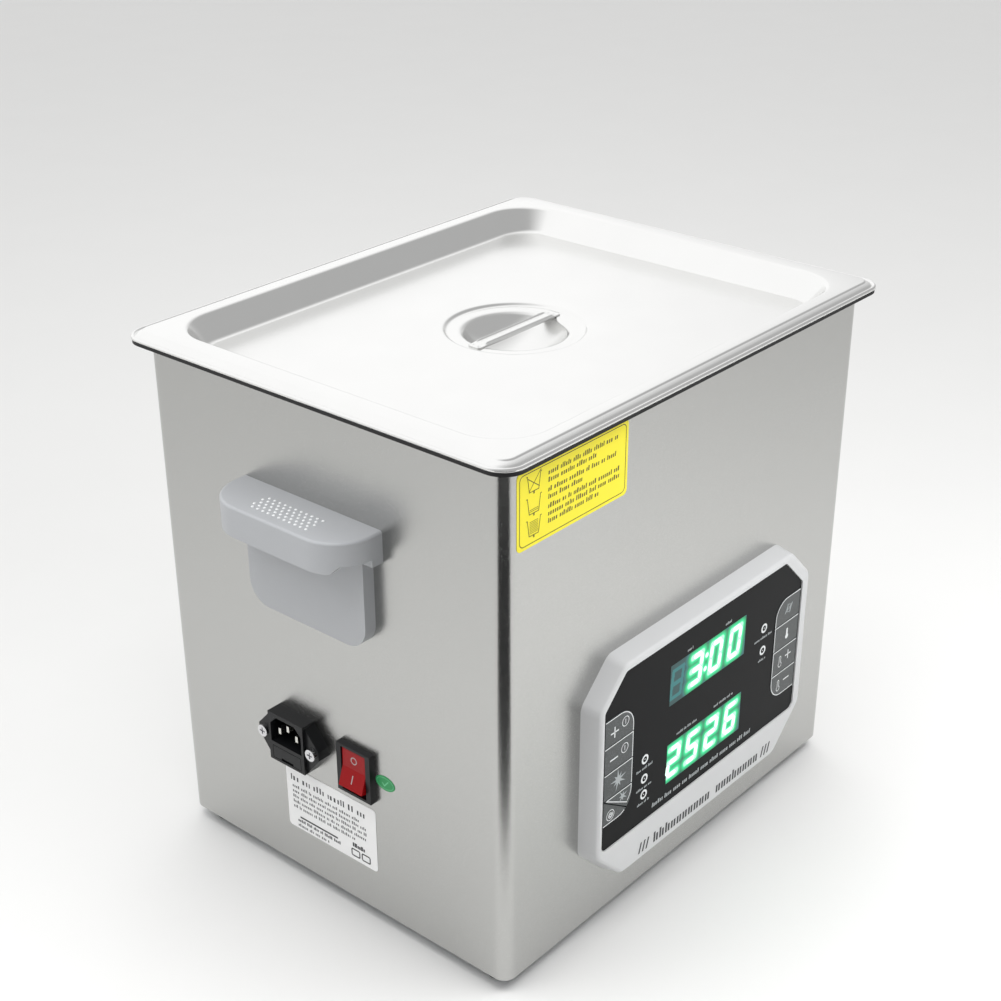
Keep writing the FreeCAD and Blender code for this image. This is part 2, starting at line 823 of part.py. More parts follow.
def make_base_plate():
    body = new_body("base_body")
    plate = outline(body, "XY_Plane", "foot_height",
                    centred("inside_x - slip_gap", "inside_y - slip_gap", "inside_corner"))
    pad(body, plate, "base_gauge")
    spots = [(x, y, "fastener_hole") for x, y in BASE_SCREWS + FEET + STANDOFFS]
    pocket(body, outline(body, "XY_Plane", "base_top", *spots), "base_gauge + 1")
    return label(body, "base_plate")


def make_feet():
    """Turned rubber feet with a counterbored hole, and the long screws that hold them."""
    feet = []
    screws = []
    for x, y in FEET:
        blank = cone((x, y, 0), "+z", "foot_radius - foot_taper", "foot_radius", "foot_height", "foot")
        bore = cylinder((x, y, -1), "+z", "fastener_hole", "foot_height + 2", "foot_bore")
        recess = cylinder((x, y, -1), "+z", "screw_head_radius + slip_gap",
                          "foot_height / 2 + 1", "foot_recess")
        feet.append(cut(blank, bore, recess))
        screws.append(screw((x, y, "foot_height / 2"), "+z", "foot_height / 2 + base_gauge + 4"))
    label(group(*feet), "rubber_feet")
    label(group(*screws), "foot_screws")


def make_case_screws():
    """Identical short screws: for the base plate, fan, circuit board, handles and panel."""
    screws = [screw((x, y, "foot_height"), "+z") for x, y in BASE_SCREWS]
    screws += [screw((x, "half_y", z), "-y") for x, z in FAN_SCREWS]
    screws += [screw((x, y, "generator_top"), "-z") for x, y in STANDOFFS]
    screws += [screw(("-inside_x", y, "handle_screw_z"), "-x") for y in HANDLE_SCREWS]
    screws += [screw(("inside_x", y, "handle_screw_z"), "+x") for y in HANDLE_SCREWS]
    screws += [screw((x, "-inside_y", z), "-y") for x, z in PANEL_SCREWS]
    return label(group(*screws), "case_screws")


# ---------------------------------------------------------------------------------------------
# Tank, edge trim and lid
# ---------------------------------------------------------------------------------------------
def flange_outline():
    """The outer edge of the tank's flange, which the black trim covers."""
    return centred("lid_half_x - trim_tuck - flange_cover", "lid_half_y - trim_tuck - flange_cover",
                   "lid_corner - trim_tuck - flange_cover")


def make_tank():
    """A welded tank that hangs in the housing by its flange."""
    body = new_body("tank_body")
    outer = centred("tank_half_x + tank_wall", "tank_half_y + tank_wall", "tank_corner + tank_wall")
    middle_height = "flange_top - flange_gauge / 2"
    pad(body, outline(body, "XY_Plane", middle_height, outer),
        "%s - tank_under" % middle_height, reverse=True)
    pad(body, outline(body, "XY_Plane", "housing_top", flange_outline()), "flange_gauge")
    round_off(body, "tank_mouth - tank_wall", level(number("housing_top"), within(
        number("tank_half_x + tank_wall"), number("tank_half_y + tank_wall"))))
    inner = centred("tank_half_x", "tank_half_y", "tank_corner")
    pocket(body, outline(body, "XY_Plane", "flange_top", inner), "tank_depth")
    round_off(body, "tank_mouth", level(number("flange_top"), within(
        number("tank_half_x"), number("tank_half_y"))))
    round_off(body, "tank_floor_fillet", level(number("tank_floor")))
    round_off(body, "tank_floor_fillet + tank_wall", level(number("tank_under")))
    drain = outline(body, "XY_Plane", "tank_floor + 1", ("drain_x", "drain_shift", "pipe_radius + screw_gap"))
    pocket(body, drain, "tank_wall + 2")
    return label(body, "tank")


def make_rim_seal():
    """Black rubber trim pushed over the edge of the tank's flange. The lid's lip rests above it."""
    body = new_body("trim_body")
    outer = centred("lid_half_x - trim_tuck", "lid_half_y - trim_tuck", "lid_corner - trim_tuck")
    pad(body, outline(body, "XY_Plane", "trim_bottom", outer), "trim_height")
    inner = centred("lid_half_x - trim_tuck - trim_width", "lid_half_y - trim_tuck - trim_width",
                    "lid_corner - trim_tuck - trim_width")
    pocket(body, outline(body, "XY_Plane", "trim_top", inner), "trim_height + 1")
    groove = new_body("trim_groove")
    pad(groove, outline(groove, "XY_Plane", "housing_top", flange_outline()), "flange_gauge")
    return label(cut(body, groove), "rim_seal")


def make_lid():
    """A pressed sheet lid: bevelled rim, sunk dish that drops into the tank, round finger cup."""
    body = new_body("lid_body")
    blank = centred("lid_half_x", "lid_half_y", "lid_corner")
    pad(body, outline(body, "XY_Plane", "lid_bottom", blank), "lid_rim_height")
    bevel_lid_rim(body)
    hollow = centred("lid_half_x - lid_bevel_run - lid_gauge", "lid_half_y - lid_bevel_run - lid_gauge",
                     "lid_corner - lid_bevel_run - lid_gauge")
    pocket(body, outline(body, "XY_Plane", "lid_bottom", hollow), "lid_rim_height - lid_gauge",
           reverse=True)
    block = centred("dish_half_x + block_spread", "dish_half_y + block_spread",
                    "dish_corner + block_spread")
    pad(body, outline(body, "XY_Plane", "lid_top - lid_gauge", block), "dish_depth", reverse=True,
        lean="dish_slope")
    dish = centred("dish_half_x", "dish_half_y", "dish_corner")
    pocket(body, outline(body, "XY_Plane", "lid_top", dish), "dish_depth", lean="dish_slope")
    round_off(body, "dish_fillet", level(number("dish_floor")))
    round_off(body, "dish_fillet + lid_gauge", level(number("dish_floor - lid_gauge")))
    round_off(body, "crease_radius", level(number("lid_top"), within(
        number("dish_half_x"), number("dish_half_y"))))
    ring = outline(body, "XY_Plane", "dish_floor - lid_gauge / 2", (0, 0, "cup_ring_radius + lid_gauge"))
    pad(body, ring, "cup_ring_drop + lid_gauge / 2", reverse=True)
    pocket(body, outline(body, "XY_Plane", "dish_floor + 1", (0, 0, "cup_ring_radius")),
           "cup_ring_drop + 1")
    shell_ball = sphere((0, 0, "cup_centre"), "cup_sphere + lid_gauge", "cup_outer")
    below = cylinder((0, 0, "cup_ring_floor - lid_gauge / 2"), "-z", "cup_ring_radius",
                     "cup_bowl_depth + 2 * lid_gauge", "cup_zone")
    bowl = common(shell_ball, below)
    hollow_ball = sphere((0, 0, "cup_centre"), "cup_sphere", "cup_inner")
    return label(cut(fuse(body, bowl), hollow_ball), "lid")


def bevel_lid_rim(body):
    """Slope the top of the lid's rim: a wide run with a low rise."""
    doc.recompute()
    top = number("lid_top")
    base = body.Tip
    pick = level(top)
    names = ["Edge%d" % (i + 1) for i, edge in enumerate(base.Shape.Edges) if pick(edge)]
    bevel = body.newObject("PartDesign::Chamfer", "lid_bevel")
    bevel.Base = (base, names)
    bevel.ChamferType = "Two distances"
    bind(bevel, "Size", "lid_bevel_rise")
    bind(bevel, "Size2", "lid_bevel_run")
    doc.recompute()
    flat = max(face.BoundBox.XMax for face in bevel.Shape.Faces
               if face.BoundBox.ZMin > top - 1e-4)
    if abs(flat - number("lid_half_x - lid_bevel_run")) > 0.01:
        bevel.FlipDirection = True
        doc.recompute()


def make_grip_strap():
    low = ("-strap_length / 2", "-strap_width / 2", "cup_ring_floor")
    high = ("strap_length / 2", "strap_width / 2", "cup_ring_floor + strap_gauge")
    return label(box(low, high, "strap"), "lid_grip_strap")


# ---------------------------------------------------------------------------------------------
# Handles
# ---------------------------------------------------------------------------------------------
def make_handle():
    """Moulded handle of the left wall: back plate, ledge and hanging lip. Fingers go in from below."""
    body = new_body("handle_body")
    low_y = "handle_shift - handle_plate_length / 2"
    high_y = "handle_shift + handle_plate_length / 2"
    plate_low = "handle_top - handle_plate_height"
    plate = outline(body, "YZ_Plane", "-half_x",
                    rectangle(low_y, plate_low, high_y, "handle_top - ledge_skin / 2"))
    pad(body, plate, "handle_plate_gauge", reverse=True)
    low_edge = number(plate_low)
    round_off(body, "handle_plate_corner", along(0, lambda m: abs(m.z - low_edge) < 0.01))
    ledge = rectangle("-half_x - handle_reach", "handle_shift - ledge_length / 2",
                      "-half_x", "handle_shift + ledge_length / 2")
    pad(body, outline(body, "XY_Plane", "handle_top", ledge), "lip_height", reverse=True)
    hollow_finger_space(body)
    outer = number("-half_x - handle_reach")
    round_off(body, "ledge_corner", along(2, lambda m: abs(m.x - outer) < 0.01))
    raise_lip_ends(body)
    round_off(body, "ledge_skin / 3", level(number("handle_top"), lambda m: m.x < number("-half_x - 1")))
    holes = outline(body, "YZ_Plane", "-half_x",
                    *[(y, "handle_screw_z", "screw_radius") for y in HANDLE_SCREWS])
    pocket(body, holes, "screw_length - sheet_gauge")
    left = label(body, "handle_left")
    label(mirrored(left, Vector(1, 0, 0)), "handle_right")


def hollow_finger_space(body):
    """The space behind the hanging lip that the fingers go up into."""
    inner_end = "(ledge_length / 2 - lip_gauge)"
    hollow = rectangle("-half_x - handle_reach + lip_gauge", "handle_shift - %s" % inner_end,
                       "-half_x - handle_plate_gauge", "handle_shift + %s" % inner_end)
    pocket(body, outline(body, "XY_Plane", "lip_bottom", hollow), "lip_height - ledge_skin",
           reverse=True)
    inner = number("-half_x - handle_reach + lip_gauge")
    round_off(body, "finger_corner", along(2, lambda m: abs(m.x - inner) < 0.01))


def raise_lip_ends(body):
    """The lip hangs lower along its straight front than round its ends."""
    step_top = "lip_bottom + lip_step"
    for side in (-1, 1):
        corners = [("handle_shift + lip_half_length * %d" % side, "lip_bottom - 1"),
                   ("handle_shift + lip_half_length * %d" % side, "lip_bottom"),
                   ("handle_shift + (lip_half_length + lip_step) * %d" % side, step_top),
                   ("handle_shift + (ledge_length / 2 + 1) * %d" % side, step_top),
                   ("handle_shift + (ledge_length / 2 + 1) * %d" % side, "lip_bottom - 1")]
        sketch = outline(body, "YZ_Plane", "-half_x - handle_plate_gauge", corners)
        pocket(body, sketch, "handle_reach", reverse=False)


# ---------------------------------------------------------------------------------------------
# Mains inlet
# ---------------------------------------------------------------------------------------------
def make_inlet():
    """Black inlet moulding: pointed ears, a raised block, the socket and the drawer's slot."""
    body = new_body("inlet_moulding")
    half = "inlet_height / 2"
    ears = [("inlet_shift - inlet_width / 2", "inlet_z + ear_tip_half"),
            ("inlet_shift - inlet_width / 2", "inlet_z - ear_tip_half"),
            ("inlet_shift - inlet_width / 2 + ear_side_inset", "inlet_z - %s + ear_cut_rise" % half),
            ("inlet_shift - inlet_width / 2 + ear_low_inset", "inlet_z - %s" % half),
            ("inlet_shift + inlet_width / 2 - ear_low_inset", "inlet_z - %s" % half),
            ("inlet_shift + inlet_width / 2 - ear_side_inset", "inlet_z - %s + ear_cut_rise" % half),
            ("inlet_shift + inlet_width / 2", "inlet_z - ear_tip_half"),
            ("inlet_shift + inlet_width / 2", "inlet_z + ear_tip_half"),
            ("inlet_shift + inlet_width / 2 - ear_high_inset", "inlet_z + %s" % half),
            ("inlet_shift - inlet_width / 2 + ear_high_inset", "inlet_z + %s" % half)]
    pad(body, outline(body, "YZ_Plane", "-half_x", ears), "inlet_ear_depth", reverse=True)
    block = rectangle("inlet_shift - inlet_block_width / 2", "inlet_z - %s" % half,
                      "inlet_shift + inlet_block_width / 2", "inlet_z + %s" % half)
    pad(body, outline(body, "YZ_Plane", "-half_x", block), "inlet_block_depth", reverse=True)
    back = rectangle("inlet_shift - inlet_back_width / 2", "inlet_z - inlet_back_height / 2",
                     "inlet_shift + inlet_back_width / 2", "inlet_z + inlet_back_height / 2")
    pad(body, outline(body, "YZ_Plane", "-half_x", back), "inlet_back_depth")
    low = "socket_z - socket_height / 2"
    high = "socket_z + socket_height / 2"
    left = "inlet_shift - socket_width / 2"
    right = "inlet_shift + socket_width / 2"
    socket = [(left, low), (right, low), (right, "%s - socket_chamfer" % high),
              ("%s - socket_chamfer" % right, high), ("%s + socket_chamfer" % left, high),
              (left, "%s - socket_chamfer" % high)]
    front = "-half_x - inlet_block_depth"
    pocket(body, outline(body, "YZ_Plane", front, socket), "socket_depth", reverse=True)
    slot = rectangle("inlet_shift - drawer_width / 2 - drawer_gap",
                     "drawer_z - drawer_height / 2 - drawer_gap",
                     "inlet_shift + drawer_width / 2 + drawer_gap",
                     "drawer_z + drawer_height / 2 + drawer_gap")
    pocket(body, outline(body, "YZ_Plane", front, slot), "drawer_depth + 1", reverse=True)
    screw_holes = [("inlet_shift + inlet_screw_pitch / 2 * %d" % side, "inlet_z", "screw_radius")
                   for side in (-1, 1)]
    pocket(body, outline(body, "YZ_Plane", "-half_x - inlet_ear_depth", *screw_holes),
           "inlet_ear_depth + 1", reverse=True)
    blades = [rectangle("%s - blade_gauge / 2" % y, "%s - blade_width / 2" % z,
                        "%s + blade_gauge / 2" % y, "%s + blade_width / 2" % z)
              for y, z in blade_places()]
    pocket(body, outline(body, "YZ_Plane", "-half_x - 1", *blades),
           "inlet_back_depth + 2", reverse=True)
    return label(body, "inlet_body")


def blade_places():
    """The three blades' centres: live and neutral side by side, earth raised between them."""
    return [("inlet_shift - blade_pitch / 2", "socket_z - 1"), ("inlet_shift", "socket_z - 1 + earth_lift"),
            ("inlet_shift + blade_pitch / 2", "socket_z - 1")]


def make_inlet_blades():
    blades = [box(("-half_x - inlet_block_depth + blade_recess", "%s - blade_gauge / 2" % y,
                   "%s - blade_width / 2" % z),
                  ("-half_x + inlet_back_depth + blade_tail", "%s + blade_gauge / 2" % y,
                   "%s + blade_width / 2" % z), "blade") for y, z in blade_places()]
    return label(group(*blades), "inlet_blades")


def make_inlet_screws():
    """Two pan-head cross-recess screws through the inlet's ears."""
    screws = []
    for side in (-1, 1):
        y = "inlet_shift + inlet_screw_pitch / 2 * %d" % side
        face = "-half_x - inlet_ear_depth"
        made = screw((face, y, "inlet_z"), "+x", "inlet_ear_depth + inlet_screw_tail")
        depth = "screw_head_height / 2"
        top = "%s - screw_head_height" % face
        slots = [box(("%s - 1" % top, "%s - %s" % (y, across), "inlet_z - %s" % upright),
                     ("%s + %s" % (top, depth), "%s + %s" % (y, across), "inlet_z + %s" % upright), "cross")
                 for across, upright in (("cross_half_width", "cross_arm"),
                                         ("cross_arm", "cross_half_width"))]
        screws.append(cut(made, *slots))
    return label(group(*screws), "inlet_screws")


def make_fuse_drawer():
    """The small drawer under the socket, with a trough for the fuse, and the glass fuse in it."""
    front = "-half_x - inlet_block_depth"
    low = (front, "inlet_shift - drawer_width / 2", "drawer_z - drawer_height / 2")
    back = "%s + drawer_depth" % front
    high = (back, "inlet_shift + drawer_width / 2", "drawer_z + drawer_height / 2")
    block = box(low, high, "drawer")
    trough = box(("%s - fuse_inset - 2 * (fuse_radius + fuse_slack)" % back,
                  "inlet_shift - fuse_length / 2 - fuse_end_gap", "drawer_z - fuse_radius"),
                 ("%s - fuse_inset" % back, "inlet_shift + fuse_length / 2 + fuse_end_gap",
                  "drawer_z + drawer_height / 2 + 1"), "trough")
    nick = box(("%s - 1" % front, "inlet_shift - nick_width / 2", "drawer_z - drawer_height / 2 - 1"),
               ("%s + nick_depth" % front, "inlet_shift + nick_width / 2",
                "drawer_z - drawer_height / 2 + nick_height"), "nick")
    label(cut(block, trough, nick), "fuse_drawer")
    middle_x = "%s - fuse_inset - fuse_slack - fuse_radius" % back
    start = (middle_x, "inlet_shift - fuse_length / 2", "drawer_z")
    tube = cylinder(start, "+y", "fuse_radius - fuse_cap_gauge", "fuse_length", "fuse_tube")
    cap_one = cylinder(start, "+y", "fuse_radius", "fuse_cap_length", "fuse_cap")
    cap_two = cylinder((middle_x, "inlet_shift + fuse_length / 2 - fuse_cap_length", "drawer_z"), "+y",
                       "fuse_radius", "fuse_cap_length", "fuse_cap")
    return label(fuse(tube, cap_one, cap_two), "fuse")


# ---------------------------------------------------------------------------------------------
# Mains switch
# ---------------------------------------------------------------------------------------------
def make_switch():
    """Black switch body with a rim outside the wall, and the contacts' tabs at its back."""
    body = new_body("switch_moulding")
    rim = rectangle("switch_shift - switch_width / 2", "switch_z - switch_height / 2",
                    "switch_shift + switch_width / 2", "switch_z + switch_height / 2")
    pad(body, outline(body, "YZ_Plane", "-half_x", rim), "switch_rim", reverse=True)
    back = rectangle("switch_shift - cavity_width / 2 - switch_wall",
                     "switch_z - cavity_height / 2 - switch_wall",
                     "switch_shift + cavity_width / 2 + switch_wall",
                     "switch_z + cavity_height / 2 + switch_wall")
    pad(body, outline(body, "YZ_Plane", "-half_x", back), "switch_depth")
    cavity = rectangle("switch_shift - cavity_width / 2", "switch_z - cavity_height / 2",
                       "switch_shift + cavity_width / 2", "switch_z + cavity_height / 2")
    pocket(body, outline(body, "YZ_Plane", "-half_x - switch_rim", cavity),
           "switch_rim + switch_depth - switch_floor", reverse=True)
    pivot = outline(body, "XZ_Plane", "-switch_shift + cavity_width / 2 + switch_wall + 1",
                    ("pivot_x", "switch_z", "pivot_radius + running_gap"))
    pocket(body, pivot, "cavity_width + 2 * switch_wall + 2")
    label(body, "switch_body")
    tabs = [box(("-half_x + switch_depth", "switch_shift - terminal_width / 2",
                 "switch_z + %s - terminal_gauge / 2" % lift),
                ("-half_x + switch_depth + terminal_length", "switch_shift + terminal_width / 2",
                 "switch_z + %s + terminal_gauge / 2" % lift), "tab")
            for lift in ("terminal_pitch", "0", "(-terminal_pitch)")]
    label(group(*tabs), "switch_terminals")


def make_rocker():
    """The rocker, drawn level about its pivot and then tilted to off: top in, bottom out."""
    body = new_body("rocker_body")
    half = "rocker_height / 2"
    outward = "-(pivot_depth + %s)"
    profile = [(outward % "rocker_rise", "-%s" % half), ("0", "-%s" % half), ("keel_depth", "-keel_half"),
               ("keel_depth", "keel_half"),
               ("0", half), (outward % "rocker_rise", half), (outward % "rocker_dip", "0")]
    sketch = outline(body, "XZ_Plane", "-rocker_width / 2", profile)
    pad(body, sketch, "rocker_width")
    pin = outline(body, "XZ_Plane", "-(cavity_width / 2 + switch_wall)", ("0", "0", "pivot_radius"))
    pad(body, pin, "cavity_width + 2 * switch_wall")
    tilt = FreeCAD.Rotation(Vector(0, 1, 0), number("rocker_tilt"))
    body.Placement = FreeCAD.Placement(Vector(0, 0, 0), tilt)
    place_body(body, ("pivot_x", "switch_shift", "switch_z"))
    return label(body, "switch_rocker")


def place_body(body, at):
    for letter, formula in zip("xyz", at):
        bind(body, "Placement.Base." + letter, formula)


# ---------------------------------------------------------------------------------------------
# Control panel
# ---------------------------------------------------------------------------------------------
def cut_corners(x0, z0, x1, z1, upper_left, upper_right, lower_right, lower_left):
    """A rectangle with its corners cut off at 45 degrees."""
    return [("%s + %s" % (x0, lower_left), z0), ("%s - %s" % (x1, lower_right), z0),
            (x1, "%s + %s" % (z0, lower_right)), (x1, "%s - %s" % (z1, upper_right)),
            ("%s - %s" % (x1, upper_right), z1), ("%s + %s" % (x0, upper_left), z1),
            (x0, "%s - %s" % (z1, upper_left)), (x0, "%s + %s" % (z0, lower_left))]


def bezel_outline(grown):
    """The bezel's outline, grown outwards by a formula. The cuts grow so that they stay parallel."""
    more = "0.586 * (%s)" % grown
    return cut_corners("panel_left - (%s)" % grown, "panel_low - (%s)" % grown,
                       "panel_right + (%s)" % grown, "panel_high + (%s)" % grown,
                       "(panel_cut_upper_left + %s)" % more, "(panel_cut_upper_right + %s)" % more,
                       "(panel_cut_lower_right + %s)" % more, "(panel_cut_lower_left + %s)" % more)


def window_outline(shrunk):
    """The window's outline, shrunk inwards by a formula."""
    less = "0.586 * (%s)" % shrunk
    return cut_corners("window_x0 + (%s)" % shrunk, "window_z0 + (%s)" % shrunk,
                       "window_x1 - (%s)" % shrunk, "window_z1 - (%s)" % shrunk,
                       "(window_cut_left - %s)" % less, "(window_cut_right - %s)" % less,
                       "window_cut_low", "window_cut_low")


def make_bezel():
    """Light grey moulded bezel. It flares slightly towards the wall, and is hollow behind."""
    body = new_body("bezel_body")
    base = outline(body, "XZ_Plane", "half_y", bezel_outline("panel_flare"))
    face = outline(body, "XZ_Plane", "half_y + panel_depth", bezel_outline("0"))
    loft = body.newObject("PartDesign::AdditiveLoft", "bezel_loft")
    loft.Profile = base
    loft.Sections = [face]
    loft.Ruled = True
    doc.recompute()
    slack = 0.01
    round_off(body, "panel_round", lambda edge: edge.BoundBox.YLength > number("panel_depth") - slack)
    round_off(body, "panel_edge", lambda edge: edge.BoundBox.YMax < number("-half_y - panel_depth") + slack)
    seat = outline(body, "XZ_Plane", "half_y + panel_depth", window_outline("-slip_gap"))
    pocket(body, seat, "window_recess + window_gauge")
    shelf = number("-half_y - panel_depth + window_recess + window_gauge")
    round_off(body, "window_round + slip_gap", lambda edge: edge.BoundBox.YLength > 1
              and abs(edge.BoundBox.YMax - shelf) < slack)
    through = outline(body, "XZ_Plane", "half_y + window_back + 1", window_outline("window_ledge"))
    pocket(body, through, "panel_depth")
    hollow = outline(body, "XZ_Plane", "half_y", bezel_outline("panel_flare - panel_skin"))
    pocket(body, hollow, "ledge_back", reverse=True)
    bosses = outline(body, "XZ_Plane", "half_y", *[(x, z, "boss_radius") for x, z in PANEL_SCREWS])
    pad(body, bosses, "ledge_back + 0.5")
    holes = outline(body, "XZ_Plane", "half_y", *[(x, z, "screw_radius") for x, z in PANEL_SCREWS])
    pocket(body, holes, "screw_length - sheet_gauge", reverse=True)
    return label(body, "panel_bezel")


def key_cells():
    """Each key's outline and plunger centre: (name, corners, centre x, centre z)."""
    gap = "key_slit / 2"
    cells = []
    left = ("window_x0 + key_edge", "window_x0 + key_edge + key_left_width")
    right = ("window_x1 - key_edge - key_right_width", "window_x1 - key_edge")
    columns = ((left, "window_z1 - key_left_top", ("time_up", "time_down", "pulse", None)),
               (right, "window_z1 - key_right_top", ("start", "heat", "temp_up", "temp_down")))
    for (x0, x1), top, names in columns:
        for index, name in enumerate(names):
            high = "%s - key_pitch * %d - %s" % (top, index, gap)
            low = "%s - key_pitch * %d + %s" % (top, index + 1, gap)
            if name:
                middle_x = "(%s + %s) / 2" % (x0, x1)
                middle_z = "%s - key_pitch * (%d + 0.5)" % (top, index)
                cells.append(("key_" + name, rectangle(x0, low, x1, high), middle_x, middle_z))
            else:
                third = "key_left_width / 3"
                cells.append(("key_degas", rectangle(x0, low, x1, high),
                              "%s + %s" % (x0, third), "%s + key_pitch / 3" % low))
                cells.append(("key_sweep", rectangle(x0, low, x1, high),
                              "%s - %s" % (x1, third), "%s - key_pitch / 3" % high))
    return cells


def rounded_key_edges(name):
    """Which upright edges of a key take the key block's large corner radius."""
    first_left = number("window_z1 - key_left_top - key_pitch / 2")
    last_left = number("window_z1 - key_left_top - key_pitch * 3.9")
    first_right = number("window_z1 - key_right_top - key_pitch / 2")
    last_right = number("window_z1 - key_right_top - key_pitch * 3.5")
    middle = number("panel_shift")
    inner_left = number("window_x0 + key_edge + key_left_width - 1")
    inner_right = number("window_x1 - key_edge - key_right_width + 1")

    def lower_left(m):
        return m.x > inner_left and m.z < last_left

    tests = {"key_time_up": lambda m: m.x > inner_left and m.z > first_left,
             "key_degas": lower_left,
             "key_sweep": lower_left,
             "key_start": lambda m: m.x < inner_right and m.z > first_right,
             "key_temp_down": lambda m: m.x < inner_right and m.z < last_right}
    return tests.get(name)


def make_keys():
    """Nine flat keys. Each has a plunger that ends just above its tact switch."""
    for name, corners, x, z in key_cells():
        body = new_body(name + "_body")
        front = outline(body, "XZ_Plane", "half_y + key_front", corners)
        pad(body, front, "key_gauge", reverse=True)
        test = rounded_key_edges(name)
        if test:
            round_off(body, "key_corner", along(1, test))
        if name in ("key_degas", "key_sweep"):
            split_cell(body, corners, name == "key_degas")
        plunger = outline(body, "XZ_Plane", "half_y + key_back", (x, z, "plunger_radius"))
        pad(body, plunger, "key_back - tact_top - plunger_gap - key_travel", reverse=True)
        label(body, name)


def split_cell(body, corners, keep_lower):
    """Cut away one half of a key's cell, along a slit from its upper left to its lower right."""
    (x0, low), (x1, high) = corners[0], corners[2]
    aside = "key_slit * %d" % (-1 if keep_lower else 1)
    far_x, far_z = ("%s + split_reach" % x1, "%s + split_reach" % high)
    if not keep_lower:
        far_x, far_z = ("%s - split_reach" % x0, "%s - split_reach" % low)
    slope = "split_reach * key_pitch / key_left_width"
    triangle = [("%s - split_reach + %s" % (x0, aside), "%s + %s" % (high, slope)),
                ("%s + split_reach + %s" % (x1, aside), "%s - %s" % (low, slope)),
                (far_x, far_z)]
    if keep_lower:
        triangle.append(("%s - split_reach + %s" % (x0, aside), far_z))
    pocket(body, outline(body, "XZ_Plane", "half_y + key_front", triangle), "key_gauge + 1")


def make_window():
    """Dark tinted window with one opening for each column of keys."""
    body = new_body("window_body")
    pad(body, outline(body, "XZ_Plane", "half_y + window_front", window_outline("0")),
        "window_gauge", reverse=True)
    round_off(body, "window_round", along(1, lambda m: True))
    bottom = "key_pitch * 4"
    left = rectangle("window_x0 + key_edge - key_gap", "window_z1 - key_left_top - %s - key_gap" % bottom,
                     "window_x0 + key_edge + key_left_width + key_gap",
                     "window_z1 - key_left_top + key_gap")
    right = rectangle("window_x1 - key_edge - key_right_width - key_gap",
                      "window_z1 - key_right_top - %s - key_gap" % bottom,
                      "window_x1 - key_edge + key_gap", "window_z1 - key_right_top + key_gap")
    pocket(body, outline(body, "XZ_Plane", "half_y + window_front", left, right), "window_gauge + 1")
    outer_left = number("window_x0 + key_edge + key_left_width + key_gap")
    outer_right = number("window_x1 - key_edge - key_right_width - key_gap")
    round_off(body, "key_corner + key_gap",
              along(1, lambda m: min(abs(m.x - outer_left), abs(m.x - outer_right)) < 0.01))
    return label(body, "panel_window")


def make_displays():
    for name, rise in (("display_time", "display_upper_rise"), ("display_temperature", "display_lower_rise")):
        low = ("display_x - display_width / 2", "-half_y - window_back",
               "window_z0 + %s - display_height / 2" % rise)
        high = ("display_x + display_width / 2", "-half_y - board_front",
                "window_z0 + %s + display_height / 2" % rise)
        label(box(low, high, name), name)


def indicator_places():
    left = [("window_x0 + lamp_left_inset", "window_z0 + %s" % rise)
            for rise in ("lamp_left_high", "lamp_left_middle", "lamp_left_low")]
    return left + [("window_x1 - lamp_right_inset", "window_z0 + %s" % rise)
                   for rise in ("lamp_right_high", "lamp_right_low")]


def make_indicators():
    lamps = [cylinder((x, "-half_y - board_front", z), "-y", "indicator_radius",
                      "window_back - board_front - slip_gap", "indicator")
             for x, z in indicator_places()]
    return label(group(*lamps), "indicator_lamps")


def make_control_board():
    """The board behind the window, notched round the bezel's upper screw bosses."""
    body = new_body("control_board_body")
    pad(body, outline(body, "XZ_Plane", "half_y + board_front", window_outline("board_margin")),
        "board_gauge", reverse=True)
    notches = [(x, z, "boss_radius + slip_gap") for x, z in PANEL_SCREWS
               if number(z) > number("window_z0")]
    pocket(body, outline(body, "XZ_Plane", "half_y + board_front", *notches), "board_gauge + 1")
    return label(body, "control_board")


def make_tact_switches():
    parts = []
    for name, corners, x, z in key_cells():
        low = ("%s - tact_side / 2" % x, "-half_y - board_front - tact_height * tact_body_share",
               "%s - tact_side / 2" % z)
        high = ("%s + tact_side / 2" % x, "-half_y - board_front", "%s + tact_side / 2" % z)
        actuator = cylinder((x, "-half_y - board_front", z), "-y", "tact_tip_radius", "tact_height")
        parts.append(fuse(box(low, high, "tact"), actuator))
    return label(group(*parts), "tact_switches")


# ---------------------------------------------------------------------------------------------
# Labels
# ---------------------------------------------------------------------------------------------
def make_labels():
    rating = box(("-half_x - label_gauge", "rating_shift - rating_width / 2", "foot_height + rating_rise"),
                 ("-half_x", "rating_shift + rating_width / 2",
                  "foot_height + rating_rise + rating_height"), "rating")
    label(rounded(rating, "label_corner", along(0)), "rating_label")
    notice = box(("-half_x + notice_edge", "-half_y - label_gauge",
                  "housing_top - notice_drop - notice_height"),
                 ("-half_x + notice_edge + notice_width", "-half_y", "housing_top - notice_drop"), "notice")
    label(rounded(notice, "notice_corner", along(1)), "notice_label")
    oval = doc.addObject("Part::Ellipse", "oval")
    bind(oval, "MajorRadius", "sticker_width / 2")
    bind(oval, "MinorRadius", "sticker_height / 2")
    oval.Placement = FreeCAD.Placement(Vector(0, 0, 0), FreeCAD.Rotation(Vector(1, 1, 1), 120))
    place_body(oval, ("-half_x - label_gauge", "sticker_shift", "foot_height + sticker_rise"))
    sticker = doc.addObject("Part::Extrusion", "oval_sticker")
    sticker.Base = oval
    sticker.DirMode = "Custom"
    sticker.Dir = Vector(1, 0, 0)
    sticker.Solid = True
    bind(sticker, "LengthFwd", "label_gauge")
    label(sticker, "check_sticker")


